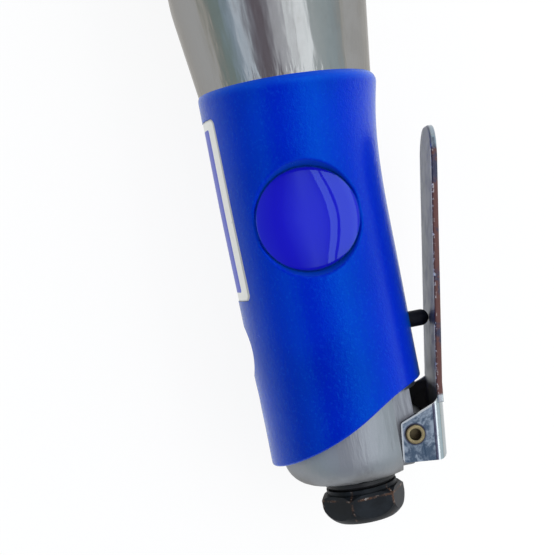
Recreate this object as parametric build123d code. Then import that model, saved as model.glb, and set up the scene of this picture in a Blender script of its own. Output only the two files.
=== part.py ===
from build123d import *
import os
from math import acos, cos, pi, radians, sin, sqrt, tan

# Air ratchet wrench, lying on its side, in millimetres.  The mouth of the air inlet is
# the origin, the head points along +X, the round badge looks up along +Z, the throttle
# lever is on the -Y side and the square drive on the +Y side.

# Fits
SEAT = 0.03          # gap round a piece that stays in its place
RUN = 0.05           # radial gap of a turning or sliding fit
AIR = 0.3            # gap round a piece that moves freely
LAP = 1.0            # how far a cut runs past the face that it opens

# Air inlet
PIPE_R = 5.6         # tapping bore of the quarter inch pipe thread
PIPE_DEPTH = 13.0
FEED_R = 4.0         # bore behind the thread
HEX_AF = 18.2
HEX_LENGTH = 7.2
HEX_MOUTH_R = 7.5    # radius left at the mouth by the rounded end
HEX_TAPER = 4.3      # length of that rounded end
HEX_SWELL = 0.6      # its rise above a straight cone
HEX_BEVEL = 1.1      # short bevel towards the casting
HEX_COLLAR = 1.1     # turned collar behind the hex
HEX_COLLAR_STEP = 0.4
HEX_TURN = 10.0      # where the thread happens to stop, degrees
SHANK_R = 7.5
SHANK_LENGTH = 13.5
SEAL_WALL = 1.2
SEAL_THICK = 2.3
SEAL_BEVEL = 0.7
SCREEN_THICK = 0.8
SCREEN_HOLES = 6
SCREEN_HOLE_R = 0.9
SCREEN_PITCH_R = 4.2
PLENUM = 2.2         # space behind the screen

# Handle end of the casting
GRIP_CORE_R = 16.0   # casting under the sleeve
GRIP_CORE_Y = 1.2    # the sleeve and its core sit off the axis, away from the lever
END_STEP = 1.6       # bare rear end, larger than the core
END_ROUND = 7.0
EXHAUST_R = 1.5
EXHAUST_ANGLES = (55, 90, 125)

# Grip sleeve: place along the tool, wall on the lever side, wall on the label side
GRIP_LENGTH = 97.0   # from the rear face of the casting to the sleeve's front rim
GRIP_REAR = (0, 4.5, 3.1)                                                  # from the rear face
GRIP_WAIST = (-30, 4.25, 4.3)                                              # from the rim: end of the taper
GRIP_FLARE = ((-22, 4.5, 4.35), (-14, 5.2, 4.35), (-5, 6.8, 4.35), (5, 7.4, 4.4))   # from the rim
GRIP_EDGE = ((5.5, 24), (9.6, 9.7), (15.0, -2.6), (19.7, -11.5), (20.8, -24))    # rear edge, X and Y
TAPER_STEPS = 5
RIM_RAKE = 3.5       # degrees
RIM_ROUND = 2.4
EDGE_ROUND = 0.6     # rear edge of the sleeve and mouth of the badge's pocket
RIM_LAP = 0.7        # rounded rim, run on past its edge on the flare
SUNK = 0.2           # how far a plug or guide stays below the core's surface

# Badge and label
BADGE_BACK = 33.0    # badge centre, back from the rim
BADGE_R = 12.0
BADGE_EDGE = 1.0     # thickness at the edge of the disc
BADGE_DOME = 1.5     # rise of its middle
BADGE_SUNK = 0.2     # the pocket's floor, below the top of the core
BADGE_BED = 0.8      # sleeve left below the pocket
POCKET_GAP = 0.25
POCKET_DRAFT = 15.0  # degrees
LABEL_BACK = 27.5    # label centre, back from the rim
LABEL_LENGTH = 44.0
LABEL_WIDTH = 22.0
LABEL_CORNER = 1.6
LABEL_THICK = 0.5
LABEL_SUNK = 0.15

# Lever
PIVOT_BACK = 9.0     # pivot, forward of the rear face
PIVOT_DEPTH = 3.2    # pivot, below the round of the rear end
PIN_R = 2.0
PIN_BORE_R = 1.3
PIN_BORE_DEPTH = 3.2
PIN_LIP = 0.35       # rolled lip beyond the shank
PIN_FLANGE = 0.7
PIN_ROUND = 0.42     # outside of the lip
PIN_MOUTH = 0.3      # inside of the lip
PIN_HEAD_R = 3.6     # domed head on the far side
PIN_DOME = 1.3
SHEET = 1.5
SHEET_ROUND = 0.4
LEVER_WIDTH = 22.0
LEVER_REACH = 71.8   # pivot to tip
LEVER_KNEE = 11.0    # pivot to the slight bend in the pad
LEVER_HEEL = 5.0     # pad behind the pivot
PAD_STAND = 7.5      # pivot to the outside of the pad
HEEL_RISE = 6.0      # degrees
PAD_RISE = 9.4
BEND_R = 2.6         # outside of the folded ears
TIP_ROUND = 8.5
EAR = ((-6.3, 4.0), (3.1, 2.9), (6.9, -7.0), (10.8, -7.45), (10.8, -8.8), (-7.35, -6.9))  # from the pivot
EAR_ROUNDS = (1.0, 1.0, 3.0, 0, 0, 2.2)   # radius of each of those corners
EAR_FRONT = 7.2      # where the pad takes over from the fold
LUG_WALL = 2.7       # round the pivot's hole
LUG_BACK = 1.6       # from the rear face
LUG_DEPTH = 4.1      # the lug's low part, below the round of the rear end
LUG_STEP = 2.5       # the lug in front of the pivot, likewise
LUG_GAP = 0.2        # lug to ear
LUG_ROUND = 1.0      # cast corners of the lug
POCKET_DEPTH = 7.4   # casting cut away for the ears, below the round of the rear end
POCKET_FRONT = 19.7  # front wall of that cut, from the rear face

# Throttle valve, across the handle
VALVE_BACK = 35.1    # valve axis, forward of the rear face
STEM_R = 2.0
STEM_BUSH_WALL = 2.0
STEM_BUSH_LENGTH = 7.0
BORE_STEP = 1.0      # each wider step of the cross bore
SEAT_FLOW = 1.0      # ring of air round the stem in the seat
SEAT_THICK = 2.5
SEAT_FACE_Y = 1.0
POPPET_LAP = 1.4     # poppet beyond the seat's bore
POPPET_LENGTH = 2.6
POPPET_BOSS_R = 2.3
POPPET_BOSS = 1.4
VALVE_PLUG_Y = 11.0
PLUG_KEY_AF = 6.0
VALVE_SPRING_R = 3.4
VALVE_WIRE_R = 0.4
VALVE_TURNS = 4
WIRE_SIDES = 6       # section of the springs' wire
RING_SIDES = 8       # section of the stem's seal ring
FEED_PASSAGE_R = 2.8
FEED_PASSAGE_Y = 4.2
MOTOR_PASSAGE_R = 1.9
MOTOR_PASSAGE_Y = -3.5

# Motor
MOTOR_R = 18.0
CASE_WALL = 4.0      # casting round the motor, at the thread
NUT_WALL = 2.0       # nut round that thread, flush with the casting
FLARE_LENGTH = 25.0  # rim to the straight barrel
FLARE_ANGLE = 7.3    # degrees
FLARE_ROUND = 40.0
FLARE_BACK = 4.0     # flare that the sleeve's rim covers
MOTOR_STEP = 3.0     # first plate, forward of the rim
PLATE = 7.0
LINER_LENGTH = 36.0
LINER_WALL = 1.6     # thin side of the eccentric liner
LINER_SHIFT = 1.2
LINER_PORT = (2.4, 9.0)
LINER_PORTS = 3
ROTOR_GAP = 0.2      # rotor to the thick side of the liner
VANES = 5
VANE_THICK = 1.9
VANE_DEPTH = 6.2
LOCATING_PIN_R = 1.0
REAR_SHAFT_R = 4.0
REAR_BEARING_R = 9.5
FRONT_SHAFT_R = 6.0
FRONT_BEARING_R = 12.0
BEARING_WIDTH = 5.0
RACE_SHARE = 0.3     # thickness of a race in the gap between shaft and seat
REAR_BALLS = 6
FRONT_BALLS = 8

# Planet gears
MODULE = 0.8
SUN_TEETH = 12
PLANET_TEETH = 12
PLANETS = 3
PRESSURE = radians(20)
ADDENDUM = 0.85
DEDENDUM = 1.15
FLANK_GAP = 0.05     # taken off each flank
FLANK_STEPS = 3
GEAR_LENGTH = 10.0
PLANET_PIN_R = 2.0
CARRIER_WALL = 2.6   # outside the planet pins
CARRIER_THICK = 4.5
CARRIER_FLOOR = 1.0  # in front of the planet pins

# Clamp nut and neck
SPIGOT = 2.5         # neck spigot inside the casting
THREAD_LENGTH = 12.0
FLANGE_GAP = 0.6     # flange to the nut's thread
FLANGE_LIP = 2.8     # flange beyond the neck
FLANGE_THICK = 5.5
NUT_LIP = 6.0
NUT_BEVEL = 1.0
NUT_NOTCHES = 12
NUT_NOTCH_R = 1.6
NECK_ROUND_LENGTH = 13.0
NECK_LENGTH = 74.0   # front face of the casting to the drive axis
HEAD_BACK = 32.5     # flat part of the neck, back from the drive axis

# Crank
CRANK_R = 7.0
CRANK_BUSH_WALL = 2.5
BUSH_STEP = 2.0      # shaft beyond its bush at each end
WASHER_THICK = 0.5
CRANK_PIN_R = 2.4
DRIVE_BUSH_WALL = 1.4
DRIVE_BUSH_LENGTH = 8.0
CRANK_ARM = 26.0     # drive axis to the middle of the drive bushing

# Ratchet head
YOKE_THICK = 12.0
YOKE_GAP = 0.2
YOKE_WALL = 5.2
PRONG = 3.2
TAIL_STEP = 0.5      # the yoke's tail stops short of the drive bushing's end
TEETH = 40
TOOTH_TIP_R = 12.0
TOOTH_DEPTH = 1.2
TOOTH_TIP = 0.35
TOOTH_ROOT = 1.5
TOOTH_GAP = 0.12
CHEEK = 7.0          # thickness of the head on each side of the yoke
HEAD_LIP = 1.6       # head beyond the yoke
HEAD_ROUND = 4.0
NECK_WALL = 3.5      # beside the yoke's tail
ANVIL_GAP = 0.4      # anvil to the yoke's teeth
BACK_JOURNAL_R = 9.5
COLLAR = 1.6
SQUARE = 12.7
SQUARE_LENGTH = 16.0
SQUARE_EDGE = 0.8
SQUARE_END = 1.2
COUNTERBORE = 2.8
ANVIL_WASHER = 1.0
WASHER_WALL = 3.5    # counterbore beyond the back journal
ANVIL_RING = 1.0
RING_PROUD = 1.9     # snap ring beyond the back journal
RING_GROOVE = 0.7
RING_MOUTH = 2.4     # half the snap ring's gap

# Pawl and reverse knob
PAWL_DEPTH = 5.5     # flat back, in from the toothed front
PAWL_SPAN = 38.0     # half angle, degrees
PAWL_SHORT = 2.0     # pawl, thinner than the yoke on each side
PAWL_TILT = 13.0     # degrees each way
PAWL_STEPS = 6       # cuts on each side of the middle
PAWL_PIVOT_DEPTH = 3.1
PAWL_PIN_R = 1.3
PAWL_PIN_HOLD = 1.6  # pin in the anvil on each side
PAWL_SLOT_ROOM = 1.6 # slot behind the pawl's back
PAWL_SLOT_HALF = 9.6
KNOB_SHAFT_R = 3.5
KNOB_SHAFT_END = 4.5
KNOB_R = 10.6
KNOB_THICK = 3.0
KNOB_BAR = (17.0, 6.0)
KNOB_BAR_HEIGHT = 3.6
KNOB_ROUND = 1.1
KNOB_TURN = 35.0     # degrees each way
PLUNGER_R = 1.2
PLUNGER_GAP = 0.4    # plunger to the pawl's back
PLUNGER_TAIL = 1.0
PLUNGER_HOLE_END = -2.8
PLUNGER_PLAY = 20.0  # window beyond the plunger's swing, degrees
PLUNGER_SPRING_R = 0.85
PLUNGER_WIRE_R = 0.18
PLUNGER_TURNS = 4
DETENT_R = 2.2
DETENT_OUT = 0.9
DETENT_BACK = 6.0    # from the end of the square
DETENT_DEPTH = 5.6
DETENT_SPRING_R = 1.5
DETENT_WIRE_R = 0.28
DETENT_TURNS = 3

# Sizes that follow from the others
SEAL_R = SHANK_R + SEAL_WALL
BARREL_R = GRIP_CORE_R + END_STEP
EXHAUST_PITCH_R = (SHANK_R + GRIP_CORE_R) / 2
BADGE_FLOOR = GRIP_CORE_R - BADGE_SUNK
PIVOT_Y = PIVOT_DEPTH - BARREL_R
LUG_R = PIN_R + LUG_WALL
EAR_INSIDE = LEVER_WIDTH / 2 - SHEET
LUG_HALF = EAR_INSIDE - LUG_GAP
PIN_HALF = LEVER_WIDTH / 2 + RUN
HEX_COLLAR_R = HEX_AF / 2 - HEX_COLLAR_STEP
FLARE_SLOPE = radians(FLARE_ANGLE)
STEM_BUSH_R = STEM_R + STEM_BUSH_WALL
O_RING_R = (STEM_BUSH_WALL - RUN) / 2
SEAT_R = STEM_BUSH_R + BORE_STEP
SEAT_BORE_R = STEM_R + SEAT_FLOW
POPPET_R = SEAT_BORE_R + POPPET_LAP
VALVE_PLUG_R = SEAT_R + BORE_STEP
THREAD_R = MOTOR_R + CASE_WALL
BULGE_R = THREAD_R + NUT_WALL
FLANGE_R = THREAD_R - FLANGE_GAP
NECK_R = FLANGE_R - FLANGE_LIP
LINER_BORE_R = MOTOR_R - LINER_WALL - LINER_SHIFT
ROTOR_R = LINER_BORE_R - LINER_SHIFT - ROTOR_GAP
LOCATING_PITCH_R = (MOTOR_R + LINER_BORE_R - LINER_SHIFT) / 2
SUN_R = MODULE * SUN_TEETH / 2
PLANET_R = MODULE * PLANET_TEETH / 2
CENTRES = SUN_R + PLANET_R
RING_TEETH = SUN_TEETH + 2 * PLANET_TEETH
CARRIER_R = CENTRES + PLANET_PIN_R + CARRIER_WALL
CRANK_BUSH_R = CRANK_R + CRANK_BUSH_WALL
DRIVE_BUSH_R = CRANK_PIN_R + DRIVE_BUSH_WALL
STROKE = 2 * pi / TEETH                       # the yoke swings through one tooth
THROW = CRANK_ARM * sin(STROKE / 2)           # offset of the crank pin
SLOT_HALF = YOKE_THICK / 2 + YOKE_GAP
HEAD_HALF = SLOT_HALF + CHEEK
FORK_HALF = DRIVE_BUSH_R + 2 * THROW + AIR    # open link: the bushing never meets the fork
TAIL_HALF = FORK_HALF + PRONG
TAIL_END = CRANK_ARM + DRIVE_BUSH_LENGTH / 2 - TAIL_STEP
CAVITY_HALF = TAIL_HALF + TAIL_END * sin(STROKE / 2) + AIR
NECK_HALF = CAVITY_HALF + NECK_WALL
TOOTH_ROOT_R = TOOTH_TIP_R + TOOTH_DEPTH
YOKE_R = TOOTH_ROOT_R + YOKE_WALL
HEAD_R = YOKE_R + HEAD_LIP
ANVIL_R = TOOTH_TIP_R - ANVIL_GAP
JOURNAL_R = TOOTH_TIP_R
COUNTERBORE_R = BACK_JOURNAL_R + WASHER_WALL
ANVIL_RING_R = BACK_JOURNAL_R + RING_PROUD
PAWL_R = TOOTH_TIP_R - AIR
PAWL_FLAT = PAWL_R - PAWL_DEPTH
PAWL_PIVOT = PAWL_R - PAWL_PIVOT_DEPTH
PAWL_HALF = YOKE_THICK / 2 - PAWL_SHORT
PAWL_PIN_HALF = PAWL_HALF + PAWL_PIN_HOLD
PAWL_SLOT_FLOOR = PAWL_FLAT - PAWL_SLOT_ROOM
PLUNGER_TIP = PAWL_FLAT - PLUNGER_GAP

# Places along the tool
SEAL_X = HEX_LENGTH + HEX_COLLAR
REAR_X = SEAL_X + SEAL_THICK
SHANK_END = REAR_X + SHANK_LENGTH
PLENUM_END = SHANK_END + SCREEN_THICK + PLENUM
RIM_X = REAR_X + GRIP_LENGTH
PIVOT_X = REAR_X + PIVOT_BACK
VALVE_X = REAR_X + VALVE_BACK
BADGE_X = RIM_X - BADGE_BACK
LABEL_X = RIM_X - LABEL_BACK
MOTOR_X = RIM_X + MOTOR_STEP
LINER_X = MOTOR_X + PLATE
FRONT_PLATE_X = LINER_X + LINER_LENGTH
GEAR_X = FRONT_PLATE_X + PLATE
FLARE_BEND_X = RIM_X + FLARE_LENGTH - FLARE_ROUND * sin(FLARE_SLOPE)
FLARE_BEND_R = BULGE_R - FLARE_ROUND * (1 - cos(FLARE_SLOPE))
SHOULDER_X = RIM_X - FLARE_BACK
SHOULDER_R = FLARE_BEND_R - (FLARE_BEND_X - SHOULDER_X) * tan(FLARE_SLOPE)
GEAR_END = GEAR_X + GEAR_LENGTH
CASE_END = GEAR_END + SPIGOT
NUT_X = CASE_END - THREAD_LENGTH
FLANGE_END = CASE_END + FLANGE_THICK
NUT_END = FLANGE_END + NUT_LIP
HEAD_X = CASE_END + NECK_LENGTH
CARRIER_X = GEAR_END + AIR
CARRIER_END = CARRIER_X + CARRIER_THICK
PLANET_PIN_END = CARRIER_END - CARRIER_FLOOR
CRANK_CAVITY_END = CARRIER_END + WASHER_THICK + 2 * SEAT
DRIVE_BUSH_X = HEAD_X - CRANK_ARM - DRIVE_BUSH_LENGTH / 2
CRANK_END = DRIVE_BUSH_X - 2 * AIR
CRANK_BUSH_X = CRANK_CAVITY_END + BUSH_STEP
CRANK_BUSH_END = CRANK_END - BUSH_STEP
ANVIL_END_Y = HEAD_HALF + COLLAR + SQUARE_LENGTH
DETENT_Y = ANVIL_END_Y - DETENT_BACK

HEAD = Plane(origin=(HEAD_X, 0, 0), x_dir=(1, 0, 0), z_dir=(0, 1, 0))
FROM_END = (Align.CENTER, Align.CENTER, Align.MIN)


def rod_x(x0, x1, r, y=0, z=0):
    """Cylinder along X."""
    return Plane(origin=(x0, y, z), z_dir=(1, 0, 0)) * Cylinder(r, x1 - x0, align=FROM_END)


def rod_y(y0, y1, r, x=0, z=0):
    """Cylinder along Y."""
    return Plane(origin=(x, y0, z), z_dir=(0, 1, 0)) * Cylinder(r, y1 - y0, align=FROM_END)


def rod_z(z0, z1, r, x=0, y=0):
    """Cylinder along Z."""
    return Plane(origin=(x, y, z0), z_dir=(0, 0, 1)) * Cylinder(r, z1 - z0, align=FROM_END)


def tube_x(x0, x1, r_out, r_in):
    """Ring about the X axis."""
    return rod_x(x0, x1, r_out) - rod_x(x0, x1, r_in)


def tube_y(y0, y1, r_out, r_in, x=0):
    """Ring along Y."""
    return rod_y(y0, y1, r_out, x) - rod_y(y0, y1, r_in, x)


def turned(outline):
    """Solid of revolution about the X axis from a closed outline of X and radius."""
    return revolve(make_face(outline), Axis.X)


def along_x(sketch, x0, x1):
    """Sketch of Y and Z, extruded along X."""
    plane = Plane(origin=(x0, 0, 0), x_dir=(0, 1, 0), z_dir=(1, 0, 0))
    return extrude(plane * sketch, x1 - x0)


def across(sketch, half):
    """Sketch of X and Y, extruded both ways along Z."""
    return extrude(Plane.XY.offset(-half) * sketch, 2 * half)


def in_head(sketch, y0, y1):
    """Sketch about the drive axis, extruded along Y."""
    return extrude(HEAD.offset(y0) * sketch, y1 - y0)


def block(x0, x1, y0, y1, z0, z1):
    """Box between two corners."""
    return Pos(x0, y0, z0) * Box(x1 - x0, y1 - y0, z1 - z0, align=(Align.MIN, Align.MIN, Align.MIN))


def polar(r, angle):
    """Point at a radius and an angle in radians."""
    return (r * cos(angle), r * sin(angle))


def coil(radius, wire, turns, length):
    """Spring along Z from 0 to length: half turns that climb, each square to the next."""
    rise = (length - 2 * wire) / (2 * turns)
    path = []
    for k in range(2 * turns):
        side = 1 if k % 2 == 0 else -1
        start = (side * radius, 0, wire + k * rise)
        middle = (0, side * sqrt(radius ** 2 + (rise / 2) ** 2), wire + (k + 0.5) * rise)
        end = (-side * radius, 0, wire + (k + 1) * rise)
        path.append(ThreePointArc(start, middle, end))
    section_plane = Plane(origin=(radius, 0, wire), x_dir=(1, 0, 0), z_dir=(0, 1, 0))
    return sweep(section_plane * RegularPolygon(wire, WIRE_SIDES), path=Wire(path))


def bearing(x0, shaft_r, seat_r, balls):
    """Outer race, balls and inner race of a ball bearing about the X axis."""
    race = (seat_r - shaft_r) * RACE_SHARE
    x1 = x0 + BEARING_WIDTH
    middle_r = (shaft_r + seat_r) / 2
    ball_r = (seat_r - shaft_r) / 2 - race + race / 3
    track = revolve(Pos((x0 + x1) / 2, middle_r) * Circle(ball_r + RUN), Axis.X)
    outer = tube_x(x0, x1, seat_r, seat_r - race) - track
    inner = tube_x(x0, x1, shaft_r + race, shaft_r + SEAT) - track
    ring = []
    for k in range(balls):
        y, z = polar(middle_r, 2 * pi * k / balls)
        ring.append(Pos((x0 + x1) / 2, y, z) * Sphere(ball_r))
    return outer, Compound(children=ring), inner


def gear_face(teeth, tip_r, root_r, gap):
    """Involute gear outline, a tooth centred on its own x axis; gap comes off each flank."""
    pitch_r = MODULE * teeth / 2
    base_r = pitch_r * cos(PRESSURE)
    half = pi / (2 * teeth) - gap / pitch_r + tan(PRESSURE) - PRESSURE
    start_r = max(root_r, base_r)
    radii = [start_r + (tip_r - start_r) * k / FLANK_STEPS for k in range(FLANK_STEPS + 1)]
    flank = []
    for r in radii:
        roll = acos(min(1, base_r / r))
        flank.append((r, half - tan(roll) + roll))
    if start_r > root_r:
        flank.insert(0, (root_r, flank[0][1]))
    points = []
    for k in range(teeth):
        middle = 2 * pi * k / teeth
        points += [polar(r, middle - a) for r, a in flank]
        points += [polar(r, middle + a) for r, a in reversed(flank)]
    return make_face(Polyline(*points, close=True))


def tip(teeth, sign=1):
    """Radius of a gear's tips, or of the space between the teeth of a ring gear."""
    return MODULE * (teeth / 2 + (ADDENDUM if sign > 0 else DEDENDUM))


def root(teeth, sign=1):
    """Radius of a gear's roots, or of the tips of a ring gear."""
    return MODULE * (teeth / 2 - (DEDENDUM if sign > 0 else ADDENDUM))


def ratchet_hole(gap):
    """Toothed hole of the yoke, a space centred on its own x axis; gap fattens the teeth."""
    tooth_root = (TOOTH_ROOT / 2 + gap) / TOOTH_ROOT_R
    tooth_tip = (TOOTH_TIP / 2 + gap) / TOOTH_TIP_R
    points = []
    for k in range(TEETH):
        middle = (k + 0.5) * STROKE
        points.append(polar(TOOTH_ROOT_R - gap, middle - tooth_root))
        points.append(polar(TOOTH_TIP_R - gap, middle - tooth_tip))
        points.append(polar(TOOTH_TIP_R - gap, middle + tooth_tip))
        points.append(polar(TOOTH_ROOT_R - gap, middle + tooth_root))
    return make_face(Polyline(*points, close=True))


def grip_form(inset):
    """Outside of the grip, set in by a constant depth."""
    rear = (REAR_X + GRIP_REAR[0], *GRIP_REAR[1:])
    waist = (RIM_X + GRIP_WAIST[0], *GRIP_WAIST[1:])
    stations = []
    for k in range(TAPER_STEPS + 1):
        share = k / TAPER_STEPS
        stations.append([a + (b - a) * share for a, b in zip(rear, waist)])
    stations += [(RIM_X + x, lever, label) for x, lever, label in GRIP_FLARE]
    sections = []
    for x, lever, label in stations:
        plane = Plane(origin=(x, GRIP_CORE_Y + (label - lever) / 2, 0), x_dir=(0, 0, -1), z_dir=(1, 0, 0))
        sections.append(plane * Circle(GRIP_CORE_R + (label + lever) / 2 - inset))
    return loft(sections)


def grip_zone(gap):
    """Stretch of the handle that the sleeve covers, from its curved rear edge to its raked rim."""
    edge = [(REAR_X + x + gap, y) for x, y in GRIP_EDGE]
    far = 2 * BULGE_R
    lean = far * tan(radians(RIM_RAKE))
    rim = RIM_X + RIM_LAP - gap
    front = ((rim - lean, -far), (rim + lean, far))
    around = Polyline(edge[-1], (edge[-1][0], -far), *front, (edge[0][0], far), edge[0])
    outline = [Spline(*edge), around]
    return across(make_face(outline), 2 * BULGE_R)


def grip_core(gap, flare_gap):
    """Round bed of the sleeve with a flat below the badge, and the flare under the sleeve's rim."""
    core = rod_x(REAR_X, RIM_X + FLARE_LENGTH, GRIP_CORE_R + gap, GRIP_CORE_Y)
    core += turned(
        Polyline(
            (SHOULDER_X - gap, 0),
            (SHOULDER_X - gap, SHOULDER_R + flare_gap),
            (FLARE_BEND_X, FLARE_BEND_R + flare_gap),
            (FLARE_BEND_X, 0),
            close=True,
        )
    )
    flat_z = BADGE_FLOOR - BADGE_BED + gap
    return core - rod_z(flat_z, BULGE_R, BADGE_R + 2 * POCKET_GAP - gap, BADGE_X, GRIP_CORE_Y)


def label_prism(gap):
    """Rounded rectangle of the label, seen along Y."""
    plane = Plane(origin=(LABEL_X, 0, 0), x_dir=(1, 0, 0), z_dir=(0, 1, 0))
    frame = RectangleRounded(LABEL_LENGTH - 2 * gap, LABEL_WIDTH - 2 * gap, LABEL_CORNER)
    return extrude(plane * frame, 2 * BULGE_R)


def core_reach(r):
    """Distance from the core's centre at which a cross rod of radius r is just below the surface."""
    return sqrt(GRIP_CORE_R ** 2 - r ** 2) - SUNK


def valve_bores():
    """Stepped cross bore of the throttle valve and the drilled air ways."""
    far = 2 * BULGE_R
    cut = rod_y(SEAT_FACE_Y, far, VALVE_PLUG_R + SEAT, VALVE_X)
    cut += rod_y(SEAT_FACE_Y - SEAT_THICK, far, SEAT_R + SEAT, VALVE_X)
    cut += rod_y(-far, far, STEM_BUSH_R + SEAT, VALVE_X)
    cut += rod_x(PLENUM_END - LAP, VALVE_X, FEED_PASSAGE_R, FEED_PASSAGE_Y)
    cut += rod_x(VALVE_X, MOTOR_X + LAP, MOTOR_PASSAGE_R, MOTOR_PASSAGE_Y)
    return cut


def lever_lug():
    """Tongue of the casting that carries the lever's pivot."""
    front = REAR_X + POCKET_FRONT
    tongue = block(REAR_X + LUG_BACK, front, LUG_DEPTH - BARREL_R, 0, -LUG_HALF, LUG_HALF)
    back = tongue.faces().sort_by(Axis.X)[0].edges()
    tongue = fillet([e for e in back if e.center().Y < 0], LUG_ROUND)
    tongue += block(PIVOT_X + LUG_R / 2, front, LUG_STEP - BARREL_R, 0, -LUG_HALF, LUG_HALF)
    return tongue + rod_z(-LUG_HALF, LUG_HALF, LUG_R, PIVOT_X, PIVOT_Y)


def motor_housing():
    """One casting: domed rear end, grip core, flare and motor barrel."""
    bend = (FLARE_BEND_X, FLARE_BEND_R)
    rise = (cos(FLARE_SLOPE), sin(FLARE_SLOPE))
    outline = [
        Line((REAR_X, 0), (REAR_X, BARREL_R - END_ROUND)),
        JernArc((REAR_X, BARREL_R - END_ROUND), (0, 1), END_ROUND, -90),
        Line((REAR_X + END_ROUND, BARREL_R), (SHOULDER_X, BARREL_R)),
        Line((SHOULDER_X, BARREL_R), (SHOULDER_X, SHOULDER_R)),
        Line((SHOULDER_X, SHOULDER_R), bend),
        JernArc(bend, rise, FLARE_ROUND, -FLARE_ANGLE),
        Line((RIM_X + FLARE_LENGTH, BULGE_R), (NUT_X, BULGE_R)),
        Line((NUT_X, BULGE_R), (NUT_X, THREAD_R)),
        Line((NUT_X, THREAD_R), (CASE_END, THREAD_R)),
        Line((CASE_END, THREAD_R), (CASE_END, 0)),
        Line((CASE_END, 0), (REAR_X, 0)),
    ]
    body = turned(outline)
    far = 2 * BULGE_R
    body -= block(REAR_X - LAP, REAR_X + POCKET_FRONT, -far, POCKET_DEPTH - BARREL_R, -far, far)
    body -= grip_zone(0) - grip_core(0, AIR)
    body += lever_lug()
    body -= rod_z(-far, far, PIN_R + SEAT, PIVOT_X, PIVOT_Y)
    body -= rod_x(REAR_X - LAP, PLENUM_END, SHANK_R + SEAT)
    body -= valve_bores()
    for angle in EXHAUST_ANGLES:
        y, z = polar(EXHAUST_PITCH_R, radians(angle))
        body -= rod_x(REAR_X - LAP, MOTOR_X + LAP, EXHAUST_R, y, z)
        body -= rod_x(REAR_X - LAP, MOTOR_X + LAP, EXHAUST_R, y, -z)
    body -= rod_x(MOTOR_X, CASE_END + LAP, MOTOR_R + SEAT)
    return body


def grip_sleeve():
    """Moulded sleeve with the badge pocket, label recess, stem hole and the hole over the valve's plug."""
    body = grip_form(0) & grip_zone(SEAT)
    rim = body.edges().filter_by(GeomType.CIRCLE, reverse=True).sort_by(Axis.X)[-1]
    body = fillet(rim, RIM_ROUND)
    rear = body.faces().filter_by(GeomType.EXTRUSION)[0].edges().sort_by(SortBy.LENGTH)[-1]
    body = fillet(rear, EDGE_ROUND)
    pocket_r = BADGE_R + POCKET_GAP
    height = BULGE_R - BADGE_FLOOR
    mouth_r = pocket_r + height * tan(radians(POCKET_DRAFT))
    pocket = Cone(pocket_r, mouth_r, height, align=FROM_END)
    body -= Pos(BADGE_X, GRIP_CORE_Y, BADGE_FLOOR) * pocket
    mouth = body.faces().filter_by(GeomType.CONE)[0].edges().filter_by(GeomType.BSPLINE)
    body = fillet(mouth, EDGE_ROUND)
    body -= grip_core(SEAT, SEAT)
    body -= label_prism(0) - grip_form(LABEL_THICK + LABEL_SUNK)
    body -= rod_y(-2 * BULGE_R, 0, STEM_R + 2 * AIR, VALVE_X)
    return body - rod_y(0, 2 * BULGE_R, VALVE_PLUG_R + AIR, VALVE_X)


def badge_disc():
    """Domed disc."""
    middle_z = BADGE_FLOOR + SEAT
    dome_r = (BADGE_R ** 2 + BADGE_DOME ** 2) / (2 * BADGE_DOME)
    disc = rod_z(middle_z, middle_z + BADGE_EDGE + BADGE_DOME, BADGE_R, BADGE_X, GRIP_CORE_Y)
    centre_z = middle_z + BADGE_EDGE + BADGE_DOME - dome_r
    return disc & Pos(BADGE_X, GRIP_CORE_Y, centre_z) * Sphere(dome_r)


def side_label():
    """Plate that follows the grip's curve in its recess."""
    plate = grip_form(LABEL_SUNK) - grip_form(LABEL_SUNK + LABEL_THICK - SEAT)
    return plate & label_prism(2 * SEAT)


def inlet_bushing():
    """Hex bushing, rounded at the mouth, with a collar and its shank in the casting."""
    hexagon = Rot(0, 0, HEX_TURN) * RegularPolygon(HEX_AF / 2, 6, major_radius=False)
    corner_r = HEX_AF / sqrt(3)
    chord = sqrt(HEX_TAPER ** 2 + (corner_r - HEX_MOUTH_R) ** 2)
    crest = (
        HEX_TAPER / 2 - HEX_SWELL * (corner_r - HEX_MOUTH_R) / chord,
        (HEX_MOUTH_R + corner_r) / 2 + HEX_SWELL * HEX_TAPER / chord,
    )
    rounded = ThreePointArc((0, HEX_MOUTH_R), crest, (HEX_TAPER, corner_r))
    sides = Polyline(
        (HEX_TAPER, corner_r),
        (HEX_LENGTH - HEX_BEVEL, corner_r),
        (HEX_LENGTH, corner_r - HEX_BEVEL),
        (HEX_LENGTH, 0),
        (0, 0),
        (0, HEX_MOUTH_R),
    )
    body = along_x(hexagon, 0, HEX_LENGTH) & turned([rounded, sides])
    body += rod_x(HEX_LENGTH, SEAL_X, HEX_COLLAR_R)
    body += rod_x(SEAL_X, SHANK_END, SHANK_R)
    body -= rod_x(-LAP, PIPE_DEPTH, PIPE_R)
    body -= rod_x(0, SHANK_END + LAP, FEED_R)
    return body


def inlet_seal():
    """Ring between the collar and the casting, bevelled outside."""
    ring = tube_x(SEAL_X + SEAT, REAR_X - SEAT, SEAL_R, SHANK_R + SEAT)
    rims = ring.edges().filter_by(GeomType.CIRCLE).sort_by(SortBy.RADIUS)[-2:]
    return chamfer(rims, SEAL_BEVEL)


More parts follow.
